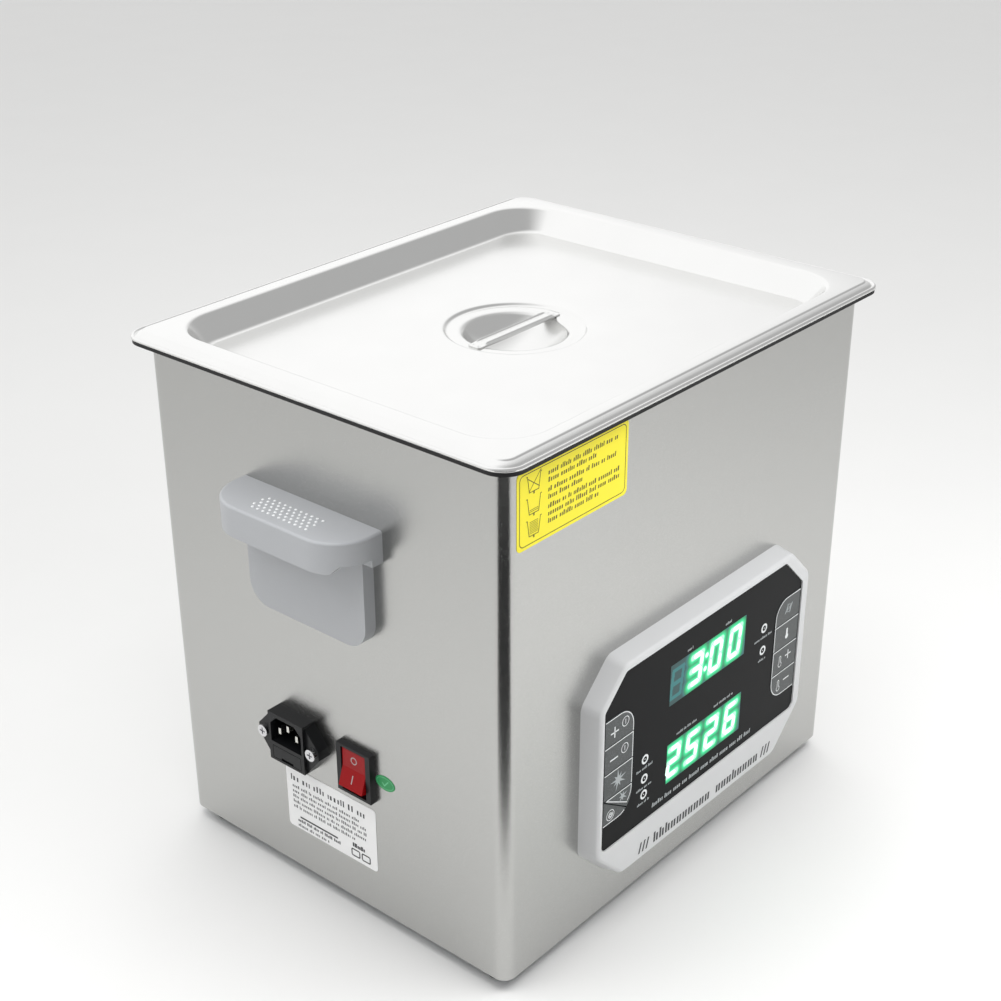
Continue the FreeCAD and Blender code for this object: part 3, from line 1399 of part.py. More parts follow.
# ---------------------------------------------------------------------------------------------
# Ultrasonic drive, heating and electronics
# ---------------------------------------------------------------------------------------------
def make_transducers():
    """Four bolted sandwich transducers, glued under the tank's floor."""
    horns = []
    rings = []
    backs = []
    bolts = []
    ring_top = "tank_under - horn_height - electrode_gap"
    back_top = "%s - 2 * piezo_height - 2 * electrode_gap" % ring_top
    clear = "bolt_radius + screw_gap"
    for x, y in TRANSDUCERS:
        horn = cone((x, y, "tank_under"), "-z", "horn_top_radius", "horn_low_radius", "horn_height", "horn")
        thread = cylinder((x, y, "tank_under - horn_height"), "+z", "bolt_radius",
                          "horn_height * thread_share")
        horns.append(cut(horn, thread))
        for index in range(2):
            top = (x, y, "%s - (piezo_height + electrode_gap) * %d" % (ring_top, index))
            disc = cylinder(top, "-z", "piezo_radius", "piezo_height", "piezo")
            rings.append(cut(disc, cylinder(top, "-z", clear, "piezo_height", "piezo_hole")))
        back = cylinder((x, y, back_top), "-z", "horn_low_radius", "back_height", "back")
        backs.append(cut(back, cylinder((x, y, back_top), "-z", clear, "back_height", "back_hole")))
        under = (x, y, "%s - back_height" % back_top)
        reach = "back_height + 2 * piezo_height + 3 * electrode_gap + horn_height * thread_share"
        shank = cylinder(under, "+z", "bolt_radius", reach, "bolt_shank")
        head = cylinder(under, "-z", "bolt_head_radius", "bolt_head_height", "bolt_head")
        bolts.append(fuse(shank, head))
    label(group(*horns), "transducer_horns")
    label(group(*rings), "piezo_rings")
    label(group(*backs), "transducer_back_masses")
    label(group(*bolts), "transducer_bolts")


def make_heating():
    """Silicone heater pads on the tank's long walls, and a sensor clipped to its side."""
    pads = []
    low_z = "tank_floor + tank_floor_fillet + heater_lift"
    for side in (-1, 1):
        near = "(tank_half_y + tank_wall) * %d" % side
        far = "(tank_half_y + tank_wall + heater_gauge) * %d" % side
        first, last = (near, far) if side > 0 else (far, near)
        pads.append(box(("-heater_length / 2", first, low_z),
                        ("heater_length / 2", last, "%s + heater_height" % low_z), "heater"))
    label(group(*pads), "heater_pads")
    start = ("-tank_half_x - tank_wall - sensor_radius", "0", low_z)
    label(cylinder(start, "+z", "sensor_radius", "sensor_length", "sensor"), "temperature_sensor")


def make_generator():
    """The generator's board on four standoffs, with its large components."""
    body = new_body("generator_body")
    left = "generator_shift_x - generator_length / 2"
    front = "generator_shift_y - generator_width / 2"
    plate = rectangle(left, front, "%s + generator_length" % left, "%s + generator_width" % front)
    pad(body, outline(body, "XY_Plane", "generator_z", plate), "board_gauge")
    holes = [(x, y, "fastener_hole") for x, y in STANDOFFS]
    pocket(body, outline(body, "XY_Plane", "generator_top", *holes), "board_gauge + 1")
    label(body, "generator_board")
    posts = []
    for x, y in STANDOFFS:
        post = cylinder((x, y, "base_top"), "+z", "standoff_radius", "standoff_height", "standoff")
        thread = cylinder((x, y, "generator_z"), "-z", "screw_radius", "screw_length - board_gauge")
        posts.append(cut(post, thread))
    label(group(*posts), "board_standoffs")
    make_board_parts(left, front)


def make_board_parts(left, front):
    """The large parts that stand on the generator's board."""
    core_x = "%s + core_inset_x" % left
    core_y = "%s + core_inset_y" % front
    core_low = (core_x, core_y, "generator_top")
    core_high = ("%s + transformer_width" % core_x, "%s + transformer_depth" % core_y,
                 "generator_top + transformer_height")
    winding = cylinder(("%s + transformer_width / 2" % core_x, "%s - winding_overhang" % core_y,
                        "generator_top + transformer_height / 2"), "+y",
                       "transformer_height / 3", "transformer_depth + 2 * winding_overhang", "winding")
    label(fuse(box(core_low, core_high, "core"), winding), "transformer")
    sink_x = "(%s + generator_length - sink_inset_x)" % left
    sink_y = "(%s + sink_inset_y)" % front
    parts = [box((sink_x, sink_y, "generator_top"),
                 ("%s + sink_base" % sink_x, "%s + sink_length" % sink_y, "generator_top + sink_height"))]
    for index in range(SINK_FINS):
        y = "%s + (sink_length - sink_fin) / %d * %d" % (sink_y, SINK_FINS - 1, index)
        parts.append(box(("%s + sink_base" % sink_x, y, "generator_top"),
                         ("%s + sink_base + sink_fin_reach" % sink_x, "%s + sink_fin" % y,
                          "generator_top + sink_height"), "fin"))
    label(fuse(*parts), "heat_sink")
    transistors = [box(("%s - transistor_gauge" % sink_x, "%s + sink_length * %s - transistor_width / 2"
                        % (sink_y, share), "generator_top + transistor_lift"),
                       (sink_x, "%s + sink_length * %s + transistor_width / 2" % (sink_y, share),
                        "generator_top + transistor_lift + transistor_height"), "transistor")
                   for share in ("0.3", "0.7")]
    label(group(*transistors), "power_transistors")
    cans = [cylinder(("%s + can_inset_x + (2 * capacitor_radius + can_gap) * %d" % (left, index),
                      "%s + generator_width - can_inset_y" % front, "generator_top"), "+z",
                     "capacitor_radius", "capacitor_height", "capacitor") for index in range(4)]
    label(group(*cans), "capacitors")


def make_fan():
    """Square fan inside the rear wall: a frame with a motor spider, and a seven-blade rotor."""
    half = "fan_side / 2"
    frame_box = box(("fan_shift - %s" % half, "fan_front", "fan_z - %s" % half),
                    ("fan_shift + %s" % half, "fan_back", "fan_z + %s" % half), "fan_frame")
    duct = cylinder(("fan_shift", "fan_front - 1", "fan_z"), "+y", "fan_bore_radius", "fan_depth + 2")
    holes = [cylinder((x, "fan_front - 1", z), "+y", "screw_radius", "fan_depth + 2")
             for x, z in FAN_SCREWS]
    ring = cut(frame_box, duct, *holes)
    front = ("fan_shift", "fan_front", "fan_z")
    seat = cylinder(front, "+y", "fan_hub_radius", "fan_seat_gauge", "motor_seat")
    arms = [box(("fan_shift - %s" % a, "fan_front", "fan_z - %s" % b),
                ("fan_shift + %s" % a, "fan_front + fan_seat_gauge", "fan_z + %s" % b), "arm")
            for a, b in (("fan_bore_radius + 0.5", "fan_arm_half"),
                         ("fan_arm_half", "fan_bore_radius + 0.5"))]
    pin = cylinder(front, "+y", "fan_pin_radius", "fan_depth - fan_pin_short", "fan_pin")
    label(fuse(ring, seat, pin, *arms), "fan_frame")
    hub_start = ("fan_shift", "fan_front + hub_lift", "fan_z")
    hub = cylinder(hub_start, "+y", "fan_hub_radius", "fan_depth - 2 * hub_lift", "fan_hub")
    bore = cylinder(hub_start, "+y", "fan_pin_radius + running_gap",
                    "fan_depth - 2 * hub_lift - hub_cap", "fan_hub_bore")
    blades = [fan_blade(index) for index in range(FAN_BLADES)]
    return label(cut(fuse(hub, *blades), bore), "fan_rotor")


def fan_blade(index):
    """One flat pitched blade, set round the hub."""
    blade = doc.addObject("Part::Box", fresh("fan_blade"))
    bind(blade, "Length", "fan_bore_radius - fan_tip_gap - fan_hub_radius + fan_blade_root")
    bind(blade, "Width", "fan_blade_gauge")
    bind(blade, "Height", "fan_blade_chord")
    to_middle = Vector(0, -number("fan_blade_gauge") / 2, -number("fan_blade_chord") / 2)
    centre = FreeCAD.Placement(to_middle, FreeCAD.Rotation())
    pitch = FreeCAD.Placement(Vector(number("fan_hub_radius - fan_blade_root"), 0, 0),
                              FreeCAD.Rotation(Vector(1, 0, 0), number("fan_blade_pitch")))
    hub_middle = Vector(number("fan_shift"), number("fan_front + fan_depth / 2"), number("fan_z"))
    spin = FreeCAD.Placement(hub_middle, FreeCAD.Rotation(Vector(0, 1, 0), 360 / FAN_BLADES * index))
    blade.Placement = spin.multiply(pitch).multiply(centre)
    return blade


# ---------------------------------------------------------------------------------------------
# Drain
# ---------------------------------------------------------------------------------------------
def make_drain():
    """Drain fitting in the tank's floor, its seal and nut, and the pipe out to the valve."""
    x = "drain_x"
    y = "drain_shift"
    below = "tank_under - drain_seal_height - drain_nut_height - stub_tail"
    flange = cylinder((x, y, "tank_floor"), "+z", "drain_flange_radius", "drain_flange_height",
                      "drain_flange")
    stub = cylinder((x, y, "tank_floor + 1"), "-z", "pipe_radius", "tank_floor + 1 - (%s)" % below, "stub")
    bore = cylinder((x, y, "tank_floor + 10"), "-z", "drain_bore", "tank_floor + 20 - (%s)" % below, "bore")
    label(cut(fuse(flange, stub), bore), "drain_fitting")
    seal = cylinder((x, y, "tank_under"), "-z", "drain_nut_radius", "drain_seal_height", "seal")
    label(cut(seal, cylinder((x, y, "tank_under"), "-z", "pipe_radius", "drain_seal_height")), "drain_seal")
    nut_top = "tank_under - drain_seal_height"
    nut = doc.addObject("Part::Prism", fresh("nut"))
    nut.Polygon = 6
    bind(nut, "Circumradius", "drain_nut_radius")
    bind(nut, "Height", "drain_nut_height")
    place_body(nut, (x, y, "%s - drain_nut_height" % nut_top))
    label(cut(nut, cylinder((x, y, nut_top), "-z", "pipe_radius", "drain_nut_height")), "drain_nut")
    make_drain_pipe(x, y, below)


def make_drain_pipe(x, y, top):
    """A drop, one bend and a level run to the right wall, all one tube."""
    def solid(radius):
        drop = cylinder((x, y, top), "-z", radius, "(%s) - drain_z - drain_bend" % top, "drop")
        bend = doc.addObject("Part::Torus", fresh("bend"))
        bind(bend, "Radius1", "drain_bend")
        bind(bend, "Radius2", radius)
        bend.Angle3 = 90
        turn = FreeCAD.Rotation(Vector(0, 1, 0), 180).multiply(FreeCAD.Rotation(Vector(1, 0, 0), 90))
        bend.Placement = FreeCAD.Placement(Vector(0, 0, 0), turn)
        place_body(bend, ("%s + drain_bend" % x, y, "drain_z + drain_bend"))
        run = cylinder(("%s + drain_bend" % x, y, "drain_z"), "+x", radius,
                       "valve_x0 - (%s) - drain_bend" % x, "run")
        return fuse(drop, bend, run)
    return label(cut(solid("pipe_radius"), solid("drain_bore")), "drain_pipe")


def make_valve():
    """A small ball valve outside the right wall. Ball, stem and lever turn together."""
    y = "drain_shift"
    start = ("valve_x0", y, "drain_z")
    barrel = cylinder(start, "+x", "valve_radius", "valve_length - valve_end_length", "barrel")
    end = cylinder(("valve_x0 + valve_length - valve_end_length - 1", y, "drain_z"), "+x",
                   "valve_end_radius", "valve_end_length + 1", "valve_end")
    neck = cylinder(("valve_centre", y, "drain_z"), "+z", "valve_neck_radius", "valve_neck_height", "neck")
    bore = cylinder(("valve_x0 - 1", y, "drain_z"), "+x", "drain_bore", "valve_length + 2", "valve_bore")
    cavity = sphere(("valve_centre", y, "drain_z"), "valve_ball_radius + running_gap", "cavity")
    stem_hole = cylinder(("valve_centre", y, "drain_z"), "+z", "valve_stem_radius + running_gap",
                         "valve_neck_height + 1", "stem_hole")
    label(cut(fuse(barrel, end, neck), bore, cavity, stem_hole), "valve_body")
    ball = sphere(("valve_centre", y, "drain_z"), "valve_ball_radius", "ball")
    passage = cylinder(("valve_centre", "%s - valve_ball_radius - 1" % y, "drain_z"), "+y", "drain_bore",
                       "2 * valve_ball_radius + 2", "passage")
    stem = cylinder(("valve_centre", y, "drain_z + drain_bore + 1"), "+z", "valve_stem_radius",
                    "valve_stem_height - drain_bore - 1", "stem")
    label(fuse(cut(ball, passage), stem), "valve_ball")
    hub = cylinder(("valve_centre", y, "lever_z"), "+z", "valve_neck_radius",
                   "lever_gauge + lever_hub_rise", "lever_hub")
    arm = box(("valve_centre - lever_width / 2", "%s - lever_length" % y, "lever_z"),
              ("valve_centre + lever_width / 2", y, "lever_z + lever_gauge"), "lever_arm")
    shaped = rounded(arm, "lever_width / 2.2", along(2, lambda m: m.y < number("drain_shift") - 10))
    return label(fuse(shaped, hub), "valve_lever")


# ---------------------------------------------------------------------------------------------
# Build, check and write
# ---------------------------------------------------------------------------------------------
def build():
    make_housing()
    make_base_plate()
    make_feet()
    make_case_screws()
    make_tank()
    make_rim_seal()
    make_lid()
    make_grip_strap()
    make_handle()
    make_inlet()
    make_inlet_blades()
    make_inlet_screws()
    make_fuse_drawer()
    make_switch()
    make_rocker()
    make_bezel()
    make_window()
    make_keys()
    make_displays()
    make_indicators()
    make_control_board()
    make_tact_switches()
    make_labels()
    make_transducers()
    make_heating()
    make_generator()
    make_fan()
    make_drain()
    make_valve()
    doc.recompute()


def check():
    """Stop if any object failed, or if a finished piece has no valid solid."""
    for item in doc.Objects:
        if "Invalid" in item.State or "Error" in item.State:
            raise RuntimeError("%s failed: %s" % (item.Name, item.State))
    for name, item in FINISHED.items():
        if item.Shape.isNull() or not item.Shape.isValid() or not item.Shape.Solids:
            raise RuntimeError("%s has no valid solid" % name)


def write():
    os.makedirs("parts", exist_ok=True)
    for name, item in FINISHED.items():
        item.Shape.exportStep("parts/%s.step" % name)
        bounds = item.Shape.BoundBox
        print("%-24s %2d solid(s) %10.1f mm3  x %.1f..%.1f  y %.1f..%.1f  z %.1f..%.1f" % (
            name, len(item.Shape.Solids), item.Shape.Volume, bounds.XMin, bounds.XMax,
            bounds.YMin, bounds.YMax, bounds.ZMin, bounds.ZMax))
    print(len(FINISHED), "nodes")


build()
check()
write()
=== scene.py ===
# %% [markdown]
# # A bench-top ultrasonic cleaner
# A stainless steel box holds a deep-drawn tank. A pressed lid covers the tank, a moulded control panel sits
# on the front, and a carrying handle is screwed to each side. The mains inlet and its rocker switch are in
# the left side. The shapes that a machinist would draw come from the CAD frame. This lesson adds the
# finishes, the pressed lid, the printed marks, the lit digits and the studio.

# %% Load the frame
import math

import bpy
import numpy as np
from mathutils import Matrix, Vector


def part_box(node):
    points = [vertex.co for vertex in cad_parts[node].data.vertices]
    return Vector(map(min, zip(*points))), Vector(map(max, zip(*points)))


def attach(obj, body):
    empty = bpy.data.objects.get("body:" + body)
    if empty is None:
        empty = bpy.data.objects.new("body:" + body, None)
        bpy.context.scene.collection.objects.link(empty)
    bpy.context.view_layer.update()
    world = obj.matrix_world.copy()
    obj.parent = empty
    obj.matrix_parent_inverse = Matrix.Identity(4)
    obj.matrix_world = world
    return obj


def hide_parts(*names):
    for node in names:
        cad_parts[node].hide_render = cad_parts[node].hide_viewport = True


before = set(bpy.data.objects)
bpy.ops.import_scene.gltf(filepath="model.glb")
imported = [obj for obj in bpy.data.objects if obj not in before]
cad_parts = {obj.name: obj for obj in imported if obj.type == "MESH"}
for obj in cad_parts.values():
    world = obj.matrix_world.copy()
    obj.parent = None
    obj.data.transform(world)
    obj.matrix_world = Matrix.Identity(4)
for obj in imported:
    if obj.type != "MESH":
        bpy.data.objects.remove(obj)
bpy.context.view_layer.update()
MM = 0.001
print("pieces in the frame:", len(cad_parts))

# %% [markdown]
# ## Tools for finishes
# Every finish starts as one Principled shader. A texture is laid on it in the real object's own
# millimetres, so a grain of 0.8 mm on the sheet is 0.8 mm here. The skins of moulded and printed pieces are
# finer than that on the real object. They are drawn with grains of 0.3 to 0.7 mm, coarse enough to show.
# Colours are written as screen hex codes and turned to linear light.


# %% Colour and material helpers
def colour(code):
    """Linear colour of a screen hex code."""
    parts = [int(code[i : i + 2], 16) / 255 for i in (0, 2, 4)]
    linear = [p / 12.92 if p <= 0.04045 else ((p + 0.055) / 1.055) ** 2.4 for p in parts]
    return (*linear, 1.0)


def add(tree, kind, settings=None, **inputs):
    """Adds a node with its settings and inputs. n3 is input 3, and a double underscore stands for a space."""
    node = tree.nodes.new(kind)
    for name, value in (settings or {}).items():
        setattr(node, name, value)
    for name, value in inputs.items():
        numbered = name[0] == "n" and name[1:].isdigit()
        socket = node.inputs[int(name[1:]) if numbered else name.replace("__", " ")]
        if isinstance(value, bpy.types.NodeSocket):
            tree.links.new(value, socket)
        else:
            socket.default_value = value
    return node


def blank_finish(name):
    """A material that holds one Principled shader."""
    material = bpy.data.materials.new(name)
    material.use_nodes = True
    tree = material.node_tree
    tree.nodes.clear()
    shader = add(tree, "ShaderNodeBsdfPrincipled")
    add(tree, "ShaderNodeOutputMaterial", Surface=shader.outputs["BSDF"])
    return material, tree, shader


def grain(tree, size, stretch=(1, 1, 1)):
    """Noise whose lumps are about size millimetres across, squeezed along an axis by stretch."""
    place = add(tree, "ShaderNodeTexCoord")
    turned = add(tree, "ShaderNodeMapping", Vector=place.outputs["Object"], Scale=stretch)
    return add(tree, "ShaderNodeTexNoise", Vector=turned.outputs["Vector"], Scale=1 / (size * MM), Detail=2.0)


def finish(name, code, metal=0.0, rough=0.4, ior=1.5, size=1.0, depth=0.01, stretch=(1, 1, 1), spread=0.06,
           shade=0.04, coat=0.0, shine=0.5, patch=30):
    """A finish with a surface grain.

    Size and depth of the grain are in mm. Spread is how far the roughness strays. Shade is how far the colour
    drifts, in patches that are patch times as broad as the grain."""
    material, tree, shader = blank_finish(name)
    tone = colour(code)
    if metal:
        shader.inputs["Metallic"].default_value = 1.0
    else:
        shader.inputs["IOR"].default_value = ior
        shader.inputs["Specular IOR Level"].default_value = shine
    shader.inputs["Coat Weight"].default_value = coat
    lumps = grain(tree, size, stretch)
    broad = grain(tree, size * patch, stretch)
    low = tuple(c * (1 - shade) for c in tone[:3]) + (1,)
    high = tuple(min(1, c * (1 + shade)) for c in tone[:3]) + (1,)
    mix = add(tree, "ShaderNodeMix", {"data_type": "RGBA"}, n0=broad.outputs["Fac"], n6=low, n7=high)
    tree.links.new(mix.outputs[2], shader.inputs["Base Color"])
    span = add(tree, "ShaderNodeMapRange", n0=lumps.outputs["Fac"], n3=rough - spread, n4=rough + spread)
    tree.links.new(span.outputs[0], shader.inputs["Roughness"])
    bump = add(tree, "ShaderNodeBump", Strength=0.6, Distance=depth * MM, Height=lumps.outputs["Fac"])
    tree.links.new(bump.outputs["Normal"], shader.inputs["Normal"])
    return material


# %% [markdown]
# ## The finishes
# Each line is one real material. Its comment says what the surface is and what it gives the eye.

# %% The finishes
# The lumps of rolled sheet are about twice as long sideways as they are high.
FLAT_GRAIN = (1, 1, 2.2)
finishes = {
    # Stainless sheet with a fine pressed grain, as rolled: it mirrors the bench softly and sparkles along
    # its bends.
    "satin_stainless": finish("satin_stainless", "BCBCBA", 1, 0.25, size=0.8, depth=0.10,
                              stretch=FLAT_GRAIN, shade=0.14, patch=1),
    # Bright annealed sheet, drawn into the lid: nearly white under a soft sky, with long smooth highlights.
    "lid_stainless": finish("lid_stainless", "EDEDEC", 1, 0.20, size=0.9, depth=0.006, shade=0.02),
    # The drawn tank keeps the marks of the die, so it is a little duller than the lid.
    "tank_stainless": finish("tank_stainless", "D2D1CE", 1, 0.30, size=1.1, depth=0.012),
    # Zinc-plated steel: cool grey, with the faint spangle of the plating.
    "zinc_plate": finish("zinc_plate", "AEB4BA", 1, 0.42, size=6.0, depth=0.004, spread=0.1, shade=0.1),
    # Moulded rubber: almost black, and matt.
    "black_rubber": finish("black_rubber", "1A1A1B", rough=0.68, ior=1.52, size=0.6, depth=0.012),
    # Turned and plated screw heads: bright and small.
    "screw_steel": finish("screw_steel", "D6D6D8", 1, 0.26, size=0.5, depth=0.003),
    # ABS moulded in a finely spark-eroded tool: pale grey with a quiet sheen.
    "grey_plastic": finish("grey_plastic", "ABADB0", rough=0.46, ior=1.53, size=0.45, depth=0.014,
                           shade=0.02),
    # The panel's bezel is the same kind of plastic, one shade lighter.
    "panel_plastic": finish("panel_plastic", "D3D4D5", rough=0.42, ior=1.53, size=0.45, depth=0.010,
                            shade=0.02),
    # Nylon and PBT parts of the inlet and switch: black, with a fine sheen.
    "black_plastic": finish("black_plastic", "141517", rough=0.36, ior=1.53, size=0.5, depth=0.010,
                            shade=0.1, shine=0.25),
    # Printed polycarbonate window: a flat black ink behind a clear face with a velvet texture.
    "tinted_window": finish("tinted_window", "0A0B0D", rough=0.34, ior=1.58, size=0.3, depth=0.003,
                            shade=0.08, shine=0.06),
    # Tinned brass blades and terminals.
    "tinned_brass": finish("tinned_brass", "D9D8D2", 1, 0.28, size=0.8, depth=0.003),
    # Machined brass, left bare.
    "brass": finish("brass", "D8B765", 1, 0.26, size=0.8, depth=0.004),
    # Sensor body of plated brass.
    "sensor_brass": finish("sensor_brass", "CDB77A", 1, 0.3, size=0.8, depth=0.004),
    # Extruded aluminium with a light etch.
    "aluminium": finish("aluminium", "CFD1D3", 1, 0.34, size=0.6, depth=0.010, stretch=(8, 1, 8)),
    # Fired lead zirconate: a sandy brown ceramic with a matt skin.
    "piezo_ceramic": finish("piezo_ceramic", "8B7A63", rough=0.6, ior=1.6, size=0.8, depth=0.010,
                            shade=0.1),
    # Blackened steel masses and bolts.
    "black_steel": finish("black_steel", "5A5B5E", 1, 0.4, size=1.0, depth=0.008),
    # Silicone heater mat: rust red with the weave of its glass cloth.
    "heater_silicone": finish("heater_silicone", "A2452F", rough=0.6, ior=1.43, size=0.7, depth=0.030,
                              shade=0.08),
    # Laminated core, varnished.
    "transformer_core": finish("transformer_core", "3B3F3A", rough=0.4, ior=1.5, size=0.5, depth=0.030,
                               stretch=(1, 1, 12), shade=0.12, coat=0.3),
    # Printed PVC sleeve of a capacitor.
    "capacitor_sleeve": finish("capacitor_sleeve", "1C2B45", rough=0.32, ior=1.53, size=0.9, depth=0.004),
    # Vinyl dip on the valve's lever.
    "lever_red": finish("lever_red", "B3211E", rough=0.34, ior=1.53, size=1.2, depth=0.010),
    # Glass-fibre board under green solder resist.
    "board_green": finish("board_green", "155C3A", rough=0.3, ior=1.55, size=1.1, depth=0.006,
                          shade=0.12, coat=0.4),
    # Vinyl labels: a flat, slightly shiny film.
    "white_label": finish("white_label", "EDEDED", rough=0.38, ior=1.46, size=0.7, depth=0.002, shade=0.01),
    "yellow_label": finish("yellow_label", "F7E927", rough=0.36, ior=1.46, size=0.7, depth=0.002,
                           shade=0.015),
    "green_label": finish("green_label", "208C4D", rough=0.34, ior=1.46, size=0.7, depth=0.002, shade=0.05),
}
print("finishes:", len(finishes))

# %% [markdown]
# ### Plastics that light passes through
# The rocker is tinted polycarbonate over a lamp, so some light comes back out of its depth. The fuse's tube
# is glass. The lamps behind the window are clear epoxy, and the unlit display block is a smoky green resin.


# %% Clear and tinted plastics
def clear_finish(name, code, rough, ior, clear, depth=0.0, shine=0.5):
    """A plastic or glass. Clear is the share of light that passes, and depth the share scattered inside."""
    material, tree, shader = blank_finish(name)
    shader.inputs["IOR"].default_value = ior
    shader.inputs["Transmission Weight"].default_value = clear
    shader.inputs["Subsurface Weight"].default_value = depth
    shader.inputs["Specular IOR Level"].default_value = shine
    shader.inputs["Subsurface Scale"].default_value = 1.5 * MM
    shader.inputs["Subsurface Radius"].default_value = (1.0, 0.1, 0.1)
    low = tuple(c * 0.94 for c in colour(code)[:3]) + (1,)
    drift = grain(tree, 7.0)
    mix = add(tree, "ShaderNodeMix", {"data_type": "RGBA"}, n0=drift.outputs["Fac"], n6=low, n7=colour(code))
    tree.links.new(mix.outputs[2], shader.inputs["Base Color"])
    lumps = grain(tree, 0.6)
    span = add(tree, "ShaderNodeMapRange", n0=lumps.outputs["Fac"], n3=rough - 0.03, n4=rough + 0.03)
    tree.links.new(span.outputs[0], shader.inputs["Roughness"])
    return material


finishes["red_rocker"] = clear_finish("red_rocker", "94040A", 0.24, 1.58, 0.0, depth=0.08, shine=0.15)
finishes["fuse_glass"] = clear_finish("fuse_glass", "E9F2EF", 0.05, 1.52, 0.9)
finishes["lamp_clear"] = clear_finish("lamp_clear", "F0F2F2", 0.12, 1.5, 0.6)
finishes["display_green"] = clear_finish("display_green", "0C3B37", 0.3, 1.5, 0.0)

# %% [markdown]
# ### The keys
# The keys are screen-printed polycarbonate. Their tint is a half-tone: pale dots, 0.8 mm apart, on the
# black ground.

# %% Key finish
KEY_DOT_PITCH = 0.8


def key_finish():
    """A black ground under a half-tone of pale dots. The dots are a little duller than the ground."""
    material, tree, shader = blank_finish("key_plastic")
    shader.inputs["IOR"].default_value = 1.58
    place = add(tree, "ShaderNodeTexCoord")
    dots = add(tree, "ShaderNodeTexVoronoi", Vector=place.outputs["Object"], Scale=1 / (KEY_DOT_PITCH * MM),
               Randomness=0.35)
    edge = add(tree, "ShaderNodeMapRange", n0=dots.outputs["Distance"], n1=0.28, n2=0.5, n3=1.0, n4=0.0)
    tint = add(tree, "ShaderNodeMix", {"data_type": "RGBA"}, n0=edge.outputs[0], n6=colour("2E3334"),
               n7=colour("626869"))
    tree.links.new(tint.outputs[2], shader.inputs["Base Color"])
    sheen = add(tree, "ShaderNodeMapRange", n0=edge.outputs[0], n3=0.34, n4=0.44)
    tree.links.new(sheen.outputs[0], shader.inputs["Roughness"])
    return material


finishes["key_plastic"] = key_finish()
print("finishes with the clear plastics and the keys:", len(finishes))

# %% [markdown]
# ## Dress the frame
# Each CAD piece already names the finish that it takes, so its own slot is given the matching material
# here.

# %% Dress the frame
missing = set()
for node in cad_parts.values():
    for slot in node.material_slots:
        kind = slot.material.name.split(".")[0]
        if kind in finishes:
            slot.material = finishes[kind]
        else:
            missing.add((node.name, kind))
print("undressed:", missing or "none")

# %% [markdown]
# ## Tools for prints
# A print is ink about 0.05 mm proud of its surface. It is drawn flat, in millimetres, as bars, rings and
# strokes of even width, and then laid on its wall. Text is stood for by plain bars, so no words or marks
# are drawn.


# %% Print helpers
INK = 0.05


def lay_front(y):
    """Places a flat drawing on a face that looks forwards, at a depth y in mm."""
    return lambda u, v: (u * MM, (y - INK) * MM, v * MM)


def lay_left(x):
    """Places a flat drawing on a face that looks left. Its u axis runs from the far end to the near end."""
    return lambda u, v: ((x - INK) * MM, -u * MM, v * MM)


def add_object(name, data):
    """A new object in the scene, at the origin."""
    made = bpy.data.objects.new(name, data)
    bpy.context.scene.collection.objects.link(made)
    return made


def piece(name, points, faces, material, body, smooth=False):
    """A finished mesh piece that rides on a body. Its points are in metres."""
    mesh = bpy.data.meshes.new(name)
    mesh.from_pydata([tuple(p) for p in points], [], faces)
    mesh.validate()
    mesh.materials.append(material)
    mesh.polygons.foreach_set("use_smooth", [smooth] * len(mesh.polygons))
    made = add_object(name, mesh)
    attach(made, body)
    return made


def bar(u0, v0, u1, v1, slant=0.0):
    """One upright or slanted bar. Slant is how far its top leans over, as a share of its height."""
    lean = (v1 - v0) * slant
    return [([(u0, v0), (u1, v0), (u1 + lean, v1), (u0 + lean, v1)], [(0, 1, 2, 3)])]


def arc(cu, cv, radius, start, end, steps=16):
    """Points round an arc, in degrees."""
    turns = [math.radians(start + (end - start) * i / steps) for i in range(steps + 1)]
    return [(cu + radius * math.cos(t), cv + radius * math.sin(t)) for t in turns]


def stroke(points, width, closed=False):
    """A line of even width through the points, with mitred corners."""
    count = len(points)
    left, right = [], []
    for i, (u, v) in enumerate(points):
        before = points[(i - 1) % count] if closed or i else points[i]
        after = points[(i + 1) % count] if closed or i < count - 1 else points[i]
        a = Vector((u - before[0], v - before[1]))
        b = Vector((after[0] - u, after[1] - v))
        a = a.normalized() if a.length else b.normalized()
        b = b.normalized() if b.length else a
        along = (a + b).normalized() if (a + b).length > 1e-6 else a
        across = Vector((-along.y, along.x))
        reach = width / 2 / max(0.35, across.dot(Vector((-a.y, a.x))))
        left.append((u + across.x * reach, v + across.y * reach))
        right.append((u - across.x * reach, v - across.y * reach))
    last = count if closed else count - 1
    faces = [(i, count + i, count + (i + 1) % count, (i + 1) % count) for i in range(last)]
    return [(left + right, faces)]


def ring(cu, cv, radius, width, steps=40):
    """A closed line of even width round a middle."""
    return stroke(arc(cu, cv, radius, 0, 360 * (1 - 1 / steps), steps - 1), width, True)


def blob(points):
    """A filled outline, fanned from its middle."""
    middle = tuple(sum(p[i] for p in points) / len(points) for i in (0, 1))
    count = len(points)
    return [(points + [middle], [(i, (i + 1) % count, count) for i in range(count)])]


def round_box(u0, v0, u1, v1, radii):
    """Outline of a box with four corner radii: lower right, upper right, upper left and lower left."""
    corners = ((u1, v0, -1, 1, 270), (u1, v1, -1, -1, 0), (u0, v1, 1, -1, 90), (u0, v0, 1, 1, 180))
    points = []
    for (u, v, du, dv, start), r in zip(corners, radii):
        points += arc(u + du * r, v + dv * r, r, start, start + 90, 8) if r else [(u, v)]
    return points


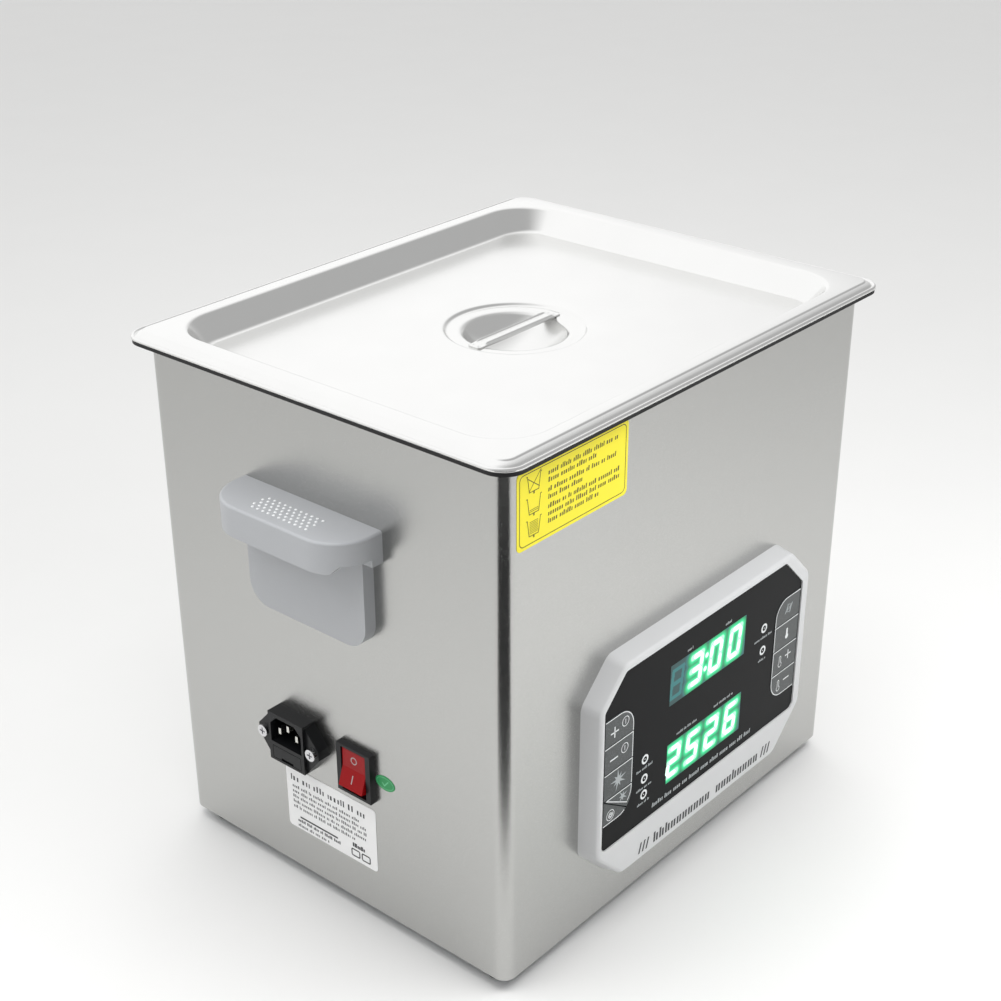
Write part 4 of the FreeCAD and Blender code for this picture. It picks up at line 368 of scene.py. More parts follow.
def text_bars(u0, u1, v, height, seed, slant=0.0, weight=0.55):
    """Bars of uneven width in groups, like a line of print seen from afar."""
    dice = np.random.default_rng(seed)
    shapes, u, word = [], u0, int(dice.integers(2, 8))
    while u < u1:
        step = height * dice.uniform(0.45, 0.75)
        tall = height * (1.0 if dice.random() < 0.3 else 0.72)
        if u + step > u1:
            break
        shapes += bar(u, v, u + step * weight * 1.35, v + tall, slant)
        u += step
        word -= 1
        if not word:
            u += height * 0.5
            word = int(dice.integers(2, 8))
    return shapes


def printed(name, shapes, lay, material, body):
    """Lays flat shapes on a wall as one piece, facing outwards."""
    points, faces = [], []
    for corners, loops in shapes:
        start = len(points)
        points += [lay(u, v) for u, v in corners]
        for loop in loops:
            sides = zip(loop, loop[1:] + loop[:1])
            area = sum(corners[a][0] * corners[b][1] - corners[b][0] * corners[a][1] for a, b in sides)
            faces.append([start + i for i in (loop if area > 0 else loop[::-1])])
    return piece(name, points, faces, material, body)


# %% [markdown]
# ### Inks
# Every ink is screen-printed: an even, slightly shiny film with a faint tooth from the screen's mesh. The
# brown ink is what black looks like when it is printed thinly on yellow.

# %% Inks
# White ink on the panel's window and keys: it hides the black ground nearly fully.
white_ink = finish("white_ink", "E6E9EA", rough=0.42, ior=1.5, size=0.4, depth=0.002, shade=0.03)
# The same white in fine lines, where it covers less and reads as grey.
grey_ink = finish("grey_ink", "A9AFB1", rough=0.42, ior=1.5, size=0.4, depth=0.002, shade=0.05)
# Black ink on the bezel and on the rating label.
black_ink = finish("black_ink", "26272B", rough=0.4, ior=1.5, size=0.4, depth=0.002, shade=0.08)
# Thin black on the yellow notice.
brown_ink = finish("brown_ink", "4C4812", rough=0.42, ior=1.5, size=0.4, depth=0.002, shade=0.08)
print("inks:", 4)

# %% [markdown]
# ## The pressed lid
# The lid is one sheet, 0.8 mm thick, drawn between two dies. Its section is followed here from the outer
# lip inwards: a rolled bead, a groove, a shallow bevel, a step, the flat flange, a soft crease, a wall that
# leans in by 10 mm, a fillet and the dish's floor. Each point of the section is swept round a rectangle
# with round corners. Inside the floor the sweep turns into circles for the finger cup. The sheet then gets
# its thickness on its lower side.

# %% Section of the lid
LID_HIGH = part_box("lid")[1]
HALF_X, HALF_Y = LID_HIGH.x / MM, LID_HIGH.y / MM
TOP, LIP = LID_HIGH.z / MM, 330.0
LIP_ROUND, LEAST_ROUND = 14.0, 3.0
CREST_X, CREST_Y, CREST_ROUND = HALF_X - 19.0, HALF_Y - 15.5, 30.0
DISH_DEEP, DISH_LEAN = 14.5, 10.0
CREASE, CREASE_LEAD, CREASE_STEPS = 3.4, 2.5, 8
FILLET, FILLET_STEPS = 4.4, 10
QUARTER_SIDE, QUARTER_ARC = 14, 20
# Each pair is the run inwards from the lip and the rise above it: bead, groove, bevel and step.
RIM = [(0.0, 0.0), (0.0, 0.7), (0.15, 1.25), (0.5, 1.7), (1.05, 1.95), (1.55, 1.85), (2.0, 1.4), (2.35, 1.0),
       (2.75, 1.1), (3.2, 1.65), (4.6, 2.4), (6.0, 3.05), (6.3, 3.12), (6.55, 3.3), (6.8, 3.62), (7.15, 3.88),
       (7.7, 4.0)]


def swept_rectangle(half_x, half_y, corner, z):
    """One loop of points round a rectangle with round corners. Every loop has the same number of points."""
    points = []
    for quarter, (sx, sy) in enumerate(((1, 1), (-1, 1), (-1, -1), (1, -1))):
        cx, cy = sx * (half_x - corner), sy * (half_y - corner)
        start = quarter * 90
        turned = quarter % 2
        lead = half_x - corner if turned else half_y - corner
        tail = half_y - corner if turned else half_x - corner
        sin, cos = math.sin(math.radians(start)), math.cos(math.radians(start))
        first = (cx + corner * cos, cy + corner * sin)
        last = (cx - corner * sin, cy + corner * cos)
        for i in range(QUARTER_SIDE):
            back = lead * (1 - i / QUARTER_SIDE)
            points.append((first[0] + sin * back, first[1] - cos * back, z))
        points += [(u, v, z) for u, v in arc(cx, cy, corner, start, start + 90, QUARTER_ARC)]
        for i in range(1, QUARTER_SIDE):
            onward = tail * i / QUARTER_SIDE
            points.append((last[0] - cos * onward, last[1] - sin * onward, z))
    return points


def dish_loop(out, z):
    """A loop that lies out mm outside the dish's crest."""
    return swept_rectangle(CREST_X + out, CREST_Y + out, CREST_ROUND + out, z)


loops = [swept_rectangle(HALF_X - run, HALF_Y - run, max(LEAST_ROUND, LIP_ROUND - run), LIP + rise)
         for run, rise in RIM]
slope = math.atan2(DISH_DEEP, DISH_LEAN)
reach = math.tan(slope / 2)
loops.append(dish_loop(CREASE * reach + CREASE_LEAD, TOP))
for i in range(CREASE_STEPS + 1):
    turn = slope * i / CREASE_STEPS
    loops.append(dish_loop(CREASE * reach - CREASE * math.sin(turn), TOP - CREASE + CREASE * math.cos(turn)))
floor_out, floor_z = -DISH_LEAN - FILLET * reach, TOP - DISH_DEEP
for i in range(FILLET_STEPS + 1):
    turn = slope * (1 - i / FILLET_STEPS)
    loops.append(dish_loop(floor_out + FILLET * math.sin(turn), floor_z + FILLET - FILLET * math.cos(turn)))
print("loops down to the floor:", len(loops))

# %% [markdown]
# ### The finger cup
# The cup is a shallow ball pressed into the dish's floor, inside a flat ring that stands a little lower
# than the floor. The loops go over from the dish's rectangle to circles in eight steps, and then follow the
# ring's small step, its fold and the ball. A last point closes the ball's lowest spot.

# %% Finger cup
CUP_MOUTH, CUP_DEEP, RING_DROP = 31.5, 18.0, 1.8
CUP_BALL = (CUP_MOUTH**2 + CUP_DEEP**2) / (2 * CUP_DEEP)
CUP_CENTRE = floor_z - RING_DROP + CUP_BALL - CUP_DEEP
CUP_STEPS, FOLD_RADIUS, FLOOR_STEPS = 19, 30.6, 8
# Each pair is a radius and its height above the dish's floor: the step down, the flat ring and the fold.
CUP_RING = [(43.6, 0.0), (42.7, -0.06), (42.0, -0.35), (41.5, -0.9), (41.0, -1.45), (40.3, -1.74),
            (39.4, -1.8), (36.0, -1.8), (34.2, -1.8), (33.2, -1.86), (32.3, -2.08), (31.6, -2.5),
            (31.05, -3.0)]
cup = [(r, floor_z + drop) for r, drop in CUP_RING]
for i in range(1, CUP_STEPS):
    radius = FOLD_RADIUS * math.cos(math.pi / 2 * i / CUP_STEPS)
    cup.append((radius, CUP_CENTRE - math.sqrt(CUP_BALL**2 - radius**2)))
edge_loop = loops[-1]
bearings = [math.atan2(y, x) for x, y, _ in edge_loop]
first_ring = [(cup[0][0] * math.cos(t), cup[0][0] * math.sin(t), cup[0][1]) for t in bearings]
for i in range(1, FLOOR_STEPS):
    share = (i / FLOOR_STEPS) ** 0.8
    loops.append([tuple(a + (b - a) * share for a, b in zip(p, q)) for p, q in zip(edge_loop, first_ring)])
for radius, z in cup:
    loops.append([(radius * math.cos(t), radius * math.sin(t), z) for t in bearings])
print("loops down to the cup:", len(loops))

# %% [markdown]
# ### From loops to sheet
# Neighbouring loops are joined by a band of four-sided faces. The Solidify modifier then thickens the sheet
# on its lower side, so the upper side stays where the die left it. The result is baked to a plain mesh.

# %% Lid sheet
SHEET = 0.8
count = len(edge_loop)
last_row = (len(loops) - 1) * count


def band_face(row, i):
    """The face between two neighbouring loops at one of their points."""
    near, far, onward = row * count, (row + 1) * count, (i + 1) % count
    return (near + i, near + onward, far + onward, far + i)


points = [tuple(c * MM for c in p) for loop in loops for p in loop]
faces = [band_face(row, i) for row in range(len(loops) - 1) for i in range(count)]
points.append((0, 0, (CUP_CENTRE - CUP_BALL) * MM))
faces += [(last_row + i, last_row + (i + 1) % count, len(points) - 1) for i in range(count)]
sheet = bpy.data.meshes.new("lid_sheet")
sheet.from_pydata(points, [], faces)
sheet.polygons.foreach_set("use_smooth", [True] * len(faces))
sheet.materials.append(finishes["lid_stainless"])
blank = add_object("lid_blank", sheet)
wall = blank.modifiers.new("thickness", "SOLIDIFY")
wall.thickness = SHEET * MM
wall.offset = -1.0
wall.use_even_offset = True


def baked(source, name, body, shift=(0, 0, 0)):
    """Takes what the modifiers make as a plain mesh, drops the source, and lets the piece ride on a body."""
    bpy.context.view_layer.update()
    evaluated = source.evaluated_get(bpy.context.evaluated_depsgraph_get())
    mesh = bpy.data.meshes.new_from_object(evaluated)
    mesh.name = name
    mesh.transform(Matrix.Translation(shift))
    bpy.data.objects.remove(source)
    made = add_object(name, mesh)
    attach(made, body)
    return made


lid_shell = baked(blank, "lid_shell", "lid")
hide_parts("lid")
lowest = min(v.co.z for v in lid_shell.data.vertices) / MM
print("lid faces:", len(lid_shell.data.polygons), "lowest mm:", lowest)

# %% [markdown]
# ### The grip strap
# A strip of the same sheet crosses the cup. Two pressed ribs stiffen it along its edges, and each end is
# flattened and spot-welded to the cup's ring. One formula gives the height of the strip's top at any place,
# so ribs, welded ends and rounded edges run into each other without seams. The foot is flat.

# %% Grip strap
low, high = (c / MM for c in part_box("lid_grip_strap"))
ALONG, ACROSS = 96, 26
END_THICK, ARCH_RISE = 0.82, 0.35
RIB_RISE, RIB_PLACE, RIB_WIDTH = 0.95, 3.3, 0.5
FLAT_END, FLAT_BLEND = 5.0, 3.0
WELD_INSET, WELD_SIDE, WELD_DEEP, WELD_SPREAD = 3.0, 1.9, 0.5, 0.75
EDGE_ROUND, EDGE_DROP, END_ROUND = 0.5, 0.3, 2.0


def strap_height(u, v):
    """Top of the strap above its foot: ribs in the middle, flat welded ends with two round weld marks."""
    end = min(1.0, max(0.0, (high.x - FLAT_END - abs(u)) / FLAT_BLEND))
    end = end * end * (3 - 2 * end)
    ribs = RIB_RISE * math.exp(-(((abs(v) - RIB_PLACE) / RIB_WIDTH) ** 2))
    height = END_THICK + end * (ARCH_RISE + ribs)
    for mark in (-WELD_SIDE, WELD_SIDE):
        away = (abs(u) - high.x + WELD_INSET) ** 2 + (v - mark) ** 2
        height -= WELD_DEEP * math.exp(-(away / WELD_SPREAD))
    edge = max(0.0, abs(v) - high.y + EDGE_ROUND) / EDGE_ROUND
    return height - EDGE_DROP * edge * edge


points, faces = [], []
for i in range(ALONG + 1):
    u = low.x + (high.x - low.x) * i / ALONG
    round_end = max(0.0, abs(u) - high.x + END_ROUND)
    narrow = END_ROUND - math.sqrt(max(0.0, END_ROUND**2 - round_end**2))
    for j in range(ACROSS + 1):
        v = (high.y - narrow) * (2 * j / ACROSS - 1)
        points.append((u * MM, v * MM, (low.z + strap_height(u, v)) * MM))
points += [(x, y, low.z * MM) for x, y, _ in points]


def at(i, j, under=False):
    """Number of a point of the strap's grid, on its top or under it."""
    return i * (ACROSS + 1) + j + ((ALONG + 1) * (ACROSS + 1) if under else 0)


for i in range(ALONG):
    for j in range(ACROSS):
        faces.append((at(i, j), at(i + 1, j), at(i + 1, j + 1), at(i, j + 1)))
        faces.append((at(i, j, True), at(i, j + 1, True), at(i + 1, j + 1, True), at(i + 1, j, True)))
for i in range(ALONG):
    faces.append((at(i, 0), at(i, 0, True), at(i + 1, 0, True), at(i + 1, 0)))
    faces.append((at(i, ACROSS), at(i + 1, ACROSS), at(i + 1, ACROSS, True), at(i, ACROSS, True)))
for j in range(ACROSS):
    faces.append((at(0, j), at(0, j + 1), at(0, j + 1, True), at(0, j, True)))
    faces.append((at(ALONG, j), at(ALONG, j, True), at(ALONG, j + 1, True), at(ALONG, j + 1)))
strap = piece("grip_strap_pressed", points, faces, finishes["lid_stainless"], "lid", smooth=True)
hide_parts("lid_grip_strap")
print("strap length and width mm:", round(high.x - low.x, 1), round(high.y - low.y, 1))

# %% [markdown]
# ## Grip dots on the handles
# Each handle's ledge has five staggered rows of small domes. They repeat, so Geometry Nodes lays them out:
# a grid of points, a half step aside on every other row, and one dome on each point. The tree ends by making
# the domes real and giving them their finish.


# %% Dot layout
def dot_layout():
    """Builds the node tree once. Its inputs are the numbers that a maker would give."""
    tree = bpy.data.node_groups.new("grip_dots", "GeometryNodeTree")
    for name, kind in (("Rows", "Int"), ("Columns", "Int"), ("Row Pitch", "Float"), ("Column Pitch", "Float"),
                       ("Dot Radius", "Float"), ("Dot Rise", "Float"), ("Finish", "Material")):
        tree.interface.new_socket(name, in_out="INPUT", socket_type="NodeSocket" + kind)
    tree.interface.new_socket("Dots", in_out="OUTPUT", socket_type="NodeSocketGeometry")
    given = add(tree, "NodeGroupInput").outputs
    less, times, over = ({"operation": kind} for kind in ("SUBTRACT", "MULTIPLY", "DIVIDE"))
    row_gaps = add(tree, "ShaderNodeMath", less, n0=given["Rows"], n1=1)
    width = add(tree, "ShaderNodeMath", times, n0=row_gaps.outputs[0], n1=given["Row Pitch"])
    column_gaps = add(tree, "ShaderNodeMath", less, n0=given["Columns"], n1=1)
    length = add(tree, "ShaderNodeMath", times, n0=column_gaps.outputs[0], n1=given["Column Pitch"])
    grid = add(tree, "GeometryNodeMeshGrid", Size__X=width.outputs[0], Size__Y=length.outputs[0],
               Vertices__X=given["Rows"], Vertices__Y=given["Columns"])
    number = add(tree, "GeometryNodeInputIndex")
    rows_before = add(tree, "ShaderNodeMath", over, n0=number.outputs[0], n1=given["Columns"])
    row = add(tree, "ShaderNodeMath", {"operation": "FLOOR"}, n0=rows_before.outputs[0])
    odd = add(tree, "ShaderNodeMath", {"operation": "MODULO"}, n0=row.outputs[0], n1=2)
    half_step = add(tree, "ShaderNodeMath", times, n0=given["Column Pitch"], n1=0.5)
    aside = add(tree, "ShaderNodeMath", times, n0=odd.outputs[0], n1=half_step.outputs[0])
    shift = add(tree, "ShaderNodeCombineXYZ", Y=aside.outputs[0])
    placed = add(tree, "GeometryNodeSetPosition", Geometry=grid.outputs["Mesh"], Offset=shift.outputs[0])
    ball = add(tree, "GeometryNodeMeshUVSphere", Segments=16, Rings=10, Radius=given["Dot Radius"])
    squash = add(tree, "ShaderNodeMath", over, n0=given["Dot Rise"], n1=given["Dot Radius"])
    flat = add(tree, "ShaderNodeCombineXYZ", X=1.0, Y=1.0, Z=squash.outputs[0])
    domes = add(tree, "GeometryNodeInstanceOnPoints", Points=placed.outputs[0], Instance=ball.outputs["Mesh"],
                Scale=flat.outputs[0])
    real = add(tree, "GeometryNodeRealizeInstances", Geometry=domes.outputs[0])
    smooth = add(tree, "GeometryNodeSetShadeSmooth", Geometry=real.outputs[0])
    dressed = add(tree, "GeometryNodeSetMaterial", Geometry=smooth.outputs[0], Material=given["Finish"])
    add(tree, "NodeGroupOutput", Dots=dressed.outputs[0])
    return tree


dot_tree = dot_layout()
sockets = {item.name: item.identifier for item in dot_tree.interface.items_tree if item.in_out == "INPUT"}
print("inputs of the dot layout:", ", ".join(sockets))

# %% [markdown]
# ### Both handles
# The dots are moulded with the handle but polished in the tool, so they are paler and shinier than the
# ledge. The dot field's middle lies 2 mm outside the ledge's middle and 1 mm nearer to the front.

# %% Grip dots
OUTWARDS, FORWARDS = 2.0, 1.0
dot_material = finish("dot_plastic", "E9EBEC", rough=0.34, ior=1.53, size=0.4, depth=0.004, shade=0.02)
for side, name in ((-1, "handle_left"), (1, "handle_right")):
    low, high = (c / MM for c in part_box(name))
    carrier = add_object(name + "_dot_carrier", bpy.data.meshes.new(name + "_dot_carrier"))
    layout = carrier.modifiers.new("dots", "NODES")
    layout.node_group = dot_tree
    for label, value in (("Rows", 5), ("Columns", 11), ("Row Pitch", 3.1 * MM), ("Column Pitch", 4.1 * MM),
                         ("Dot Radius", 0.9 * MM), ("Dot Rise", 0.5 * MM), ("Finish", dot_material)):
        layout[sockets[label]] = value
    middle = ((low.x + high.x) / 2 + side * OUTWARDS, (low.y + high.y) / 2 - FORWARDS, high.z)
    dots = baked(carrier, name + "_dots", "case", tuple(c * MM for c in middle))
    print(name, "dots' triangles:", sum(len(p.vertices) - 2 for p in dots.data.polygons))

# %% [markdown]
# ## Panel print
# The window carries white rings round the five lamps, short captions and one line of small print. The rings
# and dots are full white. The captions are finer, so they are laid as a second piece in the greyer ink.

# %% Panel print
WINDOW_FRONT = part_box("panel_window")[0].y / MM
RING_RADIUS, RING_WIDTH, LAMP_DOT = 2.5, 1.35, 0.45
lamp_places = [(-56.7, 109.7), (-56.7, 96.3), (-56.7, 85.2), (63.0, 142.3), (63.0, 126.6)]
# Each caption has its left end, its foot, its width and its seed.
caption_places = [(-64.7, 103.1, 16, 1), (-64.2, 89.6, 15, 2), (-62.7, 79.1, 12, 3), (53.0, 135.2, 20, 4),
                  (58.8, 119.4, 8.4, 5), (-19.0, 163.6, 6.5, 6), (19.4, 163.6, 6.5, 7), (-26.0, 110.3, 21, 8),
                  (12.0, 110.3, 21, 9)]
window_print, captions = [], []
for x, z in lamp_places:
    window_print += ring(x, z, RING_RADIUS, RING_WIDTH) + blob(arc(x, z, LAMP_DOT, 0, 330, 11))
for x, z, width, seed in caption_places:
    captions += text_bars(x, x + width, z, 1.7, seed, slant=0.12, weight=0.5)
captions += text_bars(-48, 56, 70.8, 3.0, 22, slant=0.15, weight=0.48)
printed("window_print", window_print, lay_front(WINDOW_FRONT), white_ink, "case")
printed("window_captions", captions, lay_front(WINDOW_FRONT), grey_ink, "case")
print("lamp rings:", len(lamp_places), "captions:", len(caption_places))

# %% [markdown]
# ### Bezel print
# The bezel carries one bold line with three slashes at each end. The line is pairs of short bars. A few bars
# are taller, as capitals are, and one pair is left out as the gap between two words.

# %% Bezel print
BEZEL_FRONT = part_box("panel_bezel")[0].y / MM
LINE_START, LINE_FOOT, LINE_HEIGHT, CAPITAL = -46.0, 44.8, 5.3, 7.2
PAIRS, PAIR_PITCH, PAIR_STEP, BAR_WIDTH = 19, 5.9, 2.7, 1.8
CAPITALS, WORD_GAP = (0, 1, 2, 14), 10
SLASH_STARTS, SLASH_PITCH, SLASH_WIDTH, SLASH_FOOT, SLASH_TOP = (-61.0, 68.5), 3.6, 1.5, 44.6, 52.0
bezel_print = []
for i in range(PAIRS):
    if i == WORD_GAP:
        continue
    start = LINE_START + PAIR_PITCH * i
    tall = CAPITAL if i in CAPITALS else LINE_HEIGHT
    bezel_print += bar(start, LINE_FOOT, start + BAR_WIDTH, LINE_FOOT + tall, 0.05)
    start += PAIR_STEP
    bezel_print += bar(start, LINE_FOOT, start + BAR_WIDTH, LINE_FOOT + LINE_HEIGHT, 0.05)
for first in SLASH_STARTS:
    for i in range(3):
        start = first + SLASH_PITCH * i
        bezel_print += bar(start, SLASH_FOOT, start + SLASH_WIDTH, SLASH_TOP, 0.3)
printed("bezel_print", bezel_print, lay_front(BEZEL_FRONT), black_ink, "case")
print("window front mm:", WINDOW_FRONT, "bezel front mm:", BEZEL_FRONT)

# %% [markdown]
# ## Key signs
# Every key has its own sign, drawn from bars, rings and outlines round a middle. The sign stands for what
# the key does: a clock for time, a thermometer for heat, a star for pulses of sound, a spiral for driving
# the gas out.


# %% Key signs
def plus(u, v, size, width):
    half, thin = size / 2, width / 2
    return bar(u - half, v - thin, u + half, v + thin) + bar(u - thin, v - half, u + thin, v + half)


def minus(u, v, size, width):
    return bar(u - size / 2, v - width / 2, u + size / 2, v + width / 2)


def clock(u, v, radius):
    return ring(u, v, radius, 0.5) + bar(u - 0.25, v - radius * 0.55, u + 0.25, v + radius * 0.55)


def burst(u, v, long, short, spikes, turn=0.0):
    """A ragged star, for the pulse of sound in the bath."""
    points = []
    for i in range(2 * spikes):
        reach = short if i % 2 else long * (1.0 if (i // 2) % 2 == 0 else 0.68)
        angle = math.radians(turn + 180 * i / spikes)
        points.append((u + reach * math.cos(angle), v + reach * math.sin(angle)))
    return blob(points)


def spiral(u, v, radius):
    turns = [(radius * (0.2 + 0.8 * i / 40), 4.2 * math.pi * i / 40) for i in range(41)]
    return stroke([(u + r * math.cos(t), v + r * math.sin(t)) for r, t in turns], 0.5)


def thermometer(u, v, filled):
    tube = arc(u, v + 2.6, 0.9, 0, 180, 8)
    bulb = arc(u, v - 2.4, 1.7, 122, 418, 20)
    return blob(tube + bulb) if filled else stroke(tube + bulb, 0.5, True)


def twin_wave(u, v):
    """Two narrow peaks, one upwards and one downwards, with a ring round their middle."""
    left = [(u - 4.4, v - 3.4), (u - 1.3, v + 4.2), (u - 0.5, v - 0.8)]
    right = [(u + 4.4, v + 3.4), (u + 1.3, v - 4.2), (u + 0.5, v + 0.8)]
    return blob(left) + blob(right) + ring(u, v, 2.6, 0.45, 20)


signs = {
    "key_time_up": lambda u, v: plus(u - 4.6, v - 1.2, 7.2, 0.95) + clock(u + 5.2, v + 1.2, 3.0),
    "key_time_down": lambda u, v: minus(u - 4.6, v - 1.2, 7.2, 0.95) + clock(u + 5.2, v + 1.2, 3.0),
    "key_pulse": lambda u, v: burst(u, v, 7.6, 2.3, 9, 14),
    "key_degas": lambda u, v: ring(u - 6.4, v - 3.0, 3.4, 0.45) + spiral(u - 6.4, v - 3.0, 2.2),
    "key_sweep": lambda u, v: burst(u + 4.6, v + 2.4, 4.8, 1.4, 7, 20),
    "key_start": lambda u, v: twin_wave(u + 1.0, v),
    "key_heat": lambda u, v: thermometer(u + 1.0, v, True),
    "key_temp_up": lambda u, v: thermometer(u - 4.6, v - 0.6, False) + plus(u + 4.4, v + 0.8, 6.4, 0.9),
    "key_temp_down": lambda u, v: thermometer(u - 4.6, v - 0.6, False) + minus(u + 4.4, v + 0.8, 6.4, 0.9),
}
print("signs:", ", ".join(signs))

# %% [markdown]
# ## Key outlines
# Every key also has its own share of the white outline round its column. The outline runs along the key's
# top edge and its inner side, so that neighbouring keys share one line. The column's ends turn in a round
# corner. The lowest left key is two keys, parted by a slanting line that the sweep key carries.

# %% Key outlines
KEY_CORNER, KEY_LINE = 12.0, 0.62
CORNER_STEPS = 12
KEY_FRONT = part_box("key_start")[0].y / MM
GREY_SIGNS = ("key_pulse", "key_sweep", "key_start")
cells = {}
for name in signs:
    low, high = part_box(name)
    cells[name] = [c / MM for c in (low.x, low.z, high.x, high.z)]


def key_outline(name):
    """The key's share of the white line round its column."""
    x0, z0, x1, z1 = cells[name]
    left_column = x0 < 0
    outer, inner = (x0, x1) if left_column else (x1, x0)
    inset = KEY_LINE / 2 * (1 if left_column else -1)
    side = inner - inset
    corner = side - KEY_CORNER * (1 if left_column else -1)
    top, bottom = z1 - KEY_LINE / 2, z0 + KEY_LINE / 2
    start, end = (0, -90) if left_column else (180, 270)
    upper = arc(corner, top - KEY_CORNER, KEY_CORNER, 90, start, CORNER_STEPS)
    lower = arc(corner, bottom + KEY_CORNER, KEY_CORNER, start, end, CORNER_STEPS)
    if name in ("key_time_up", "key_start"):
        return stroke([(outer, top)] + upper + [(side, z0)], KEY_LINE)
    if name == "key_temp_down":
        return stroke([(outer, top), (side, top)] + lower + [(outer, bottom)], KEY_LINE)
    if name == "key_sweep":
        run, drop = x1 - x0, z1 - z0
        slit = [(x0 + 1.2 + run * t, z1 - drop * t) for t in np.linspace(0.02, 0.80, 12)]
        return stroke([(outer + 2.5, top), (side, top)] + lower[:7], KEY_LINE) + stroke(slit, KEY_LINE)
    if name == "key_degas":
        full_side = cells["key_sweep"][2] - inset
        curve = arc(full_side - KEY_CORNER, bottom + KEY_CORNER, KEY_CORNER, 0, -90, CORNER_STEPS)
        return stroke([p for p in curve if p[0] < x1 - 0.4] + [(outer, bottom)], KEY_LINE)
    return stroke([(outer, top), (side, top), (side, z0)], KEY_LINE)


for name, sign in signs.items():
    x0, z0, x1, z1 = cells[name]
    if name in ("key_degas", "key_sweep"):
        x0, x1 = cells["key_pulse"][0], cells["key_pulse"][2]
    printed(name + "_outline", key_outline(name), lay_front(KEY_FRONT), white_ink, name)
    ink = grey_ink if name in GREY_SIGNS else white_ink
    printed(name + "_sign", sign((x0 + x1) / 2, (z0 + z1) / 2), lay_front(KEY_FRONT), ink, name)
print("keys printed:", len(signs))

# %% [markdown]
# ## The lit digits
# Two light-emitting displays sit behind the window. Each digit is seven bars that lean over by one part in
# eight. The bars glow almost white. The light that the resin round them scatters is painted glow: a plate on
# the window shines green, fading with the distance from the nearest bar. That fall-off is worked out point
# by point and kept on the mesh.

# %% Shapes of the digits
LEAN = 0.13
HALF_WIDTH, HALF_HEIGHT, BAR, BAR_GAP = 4.9, 8.9, 3.5, 0.35
SEGMENTS = {
    "a": ((-1, 2), (1, 2)), "b": ((1, 2), (1, 0)), "c": ((1, 0), (1, -2)), "d": ((-1, -2), (1, -2)),
    "e": ((-1, 0), (-1, -2)), "f": ((-1, 2), (-1, 0)), "g": ((-1, 0), (1, 0)),
}
LIT = {"0": "abcdef", "2": "abged", "3": "abgcd", "5": "afgcd", "6": "afgedc", "8": "abcdefg"}
DIGIT_PLACES = (-28.3, -9.3, 10.5, 30.5)


def segment_ends(letter, cx, cz):
    """Both ends of a bar's middle line, for a digit whose middle is given."""
    ends = []
    for u, v in SEGMENTS[letter]:
        z = v / 2 * HALF_HEIGHT
        ends.append(Vector((cx + u * HALF_WIDTH + z * LEAN, cz + z)))
    return ends


def segment_shape(letter, cx, cz, width):
    """A bar with pointed ends, drawn a little short so that a thin gap stays at each corner."""
    a, b = segment_ends(letter, cx, cz)
    along = (b - a).normalized()
    across = Vector((-along.y, along.x)) * width / 2
    a, b = a + along * BAR_GAP, b - along * BAR_GAP
    tip = along * width / 2
    corners = (a, a + tip + across, b - tip + across, b, b - tip - across, a + tip - across)
    return [([tuple(p) for p in corners], [(0, 1, 2, 3, 4, 5)])]


print("digits that can be drawn:", " ".join(LIT))

# %% [markdown]
# ### Light of the digits
# The resin's painted glow comes from one amount, kept on each point of its mesh: 0 far from a bar and 1 on
# it. A colour ramp turns that amount into the light it gives off: smoke, a bar that is off, deep green,
# bright green and nearly white. The smoky ground and the bars that are off glow too, as painted light.


# %% Light of the digits
def glow_finish():
    """Smoky resin with a painted glow: it shines by the amounts kept on the mesh, even where no bar is lit.
    """
    material, tree, shader = blank_finish("display_haze")
    shader.inputs["IOR"].default_value = 1.5
    shader.inputs["Roughness"].default_value = 0.4
    shader.inputs["Base Color"].default_value = colour("0A1716")
    near = add(tree, "ShaderNodeAttribute", {"attribute_name": "haze"})
    ramp = add(tree, "ShaderNodeValToRGB", Fac=near.outputs["Fac"])
    stops = ramp.color_ramp.elements
    stops[0].color, stops[1].color = colour("06302C"), colour("C4FFE2")
    for place, code in ((0.17, "083F40"), (0.33, "147274"), (0.36, "00784E"), (0.62, "00C27A"),
                        (0.86, "22F0A0")):
        stop = stops.new(place)
        stop.color = colour(code)
    tree.links.new(ramp.outputs["Color"], shader.inputs["Emission Color"])
    shader.inputs["Emission Strength"].default_value = 1.0
    return material


def lit_finish():
    """The glowing bars, nearly white in their middle."""
    material, tree, shader = blank_finish("digit_light")
    shader.inputs["Base Color"].default_value = colour("0F3A2B")
    shader.inputs["Roughness"].default_value = 0.4
    drift = grain(tree, 3.0)
    mix = add(tree, "ShaderNodeMix", {"data_type": "RGBA"}, n0=drift.outputs["Fac"], n6=colour("C8FFE6"),
              n7=colour("F2FFF9"))
    tree.links.new(mix.outputs[2], shader.inputs["Emission Color"])
    shader.inputs["Emission Strength"].default_value = 1.5
    return material


painted_glow_material, light_material = glow_finish(), lit_finish()
print("display finishes:", painted_glow_material.name, light_material.name)

# %% [markdown]
# ### Both displays
# Each display is one fine grid of points for the resin's painted glow and one piece for its lit bars, which
# lies one ink's thickness in front. The upper one shows minutes and seconds with a colon, and its first digit
# is off. The lower one shows four digits.

# %% Displays
# The glow round the bars is painted on the resin: it fades over a few mm from a lit bar, and the bars that
# are off and their ground glow at fixed low levels.
PAINTED_GLOW_FADE, COLON_DOT, COLON_PLACE, COLON_RISE = 3.8, 1.5, 0.6, 4.4
OFF_BAR, OFF_GLOW, OFF_GROUND = 1.3, 0.33, 0.17
GRID_ACROSS, GRID_UP = 150, 54


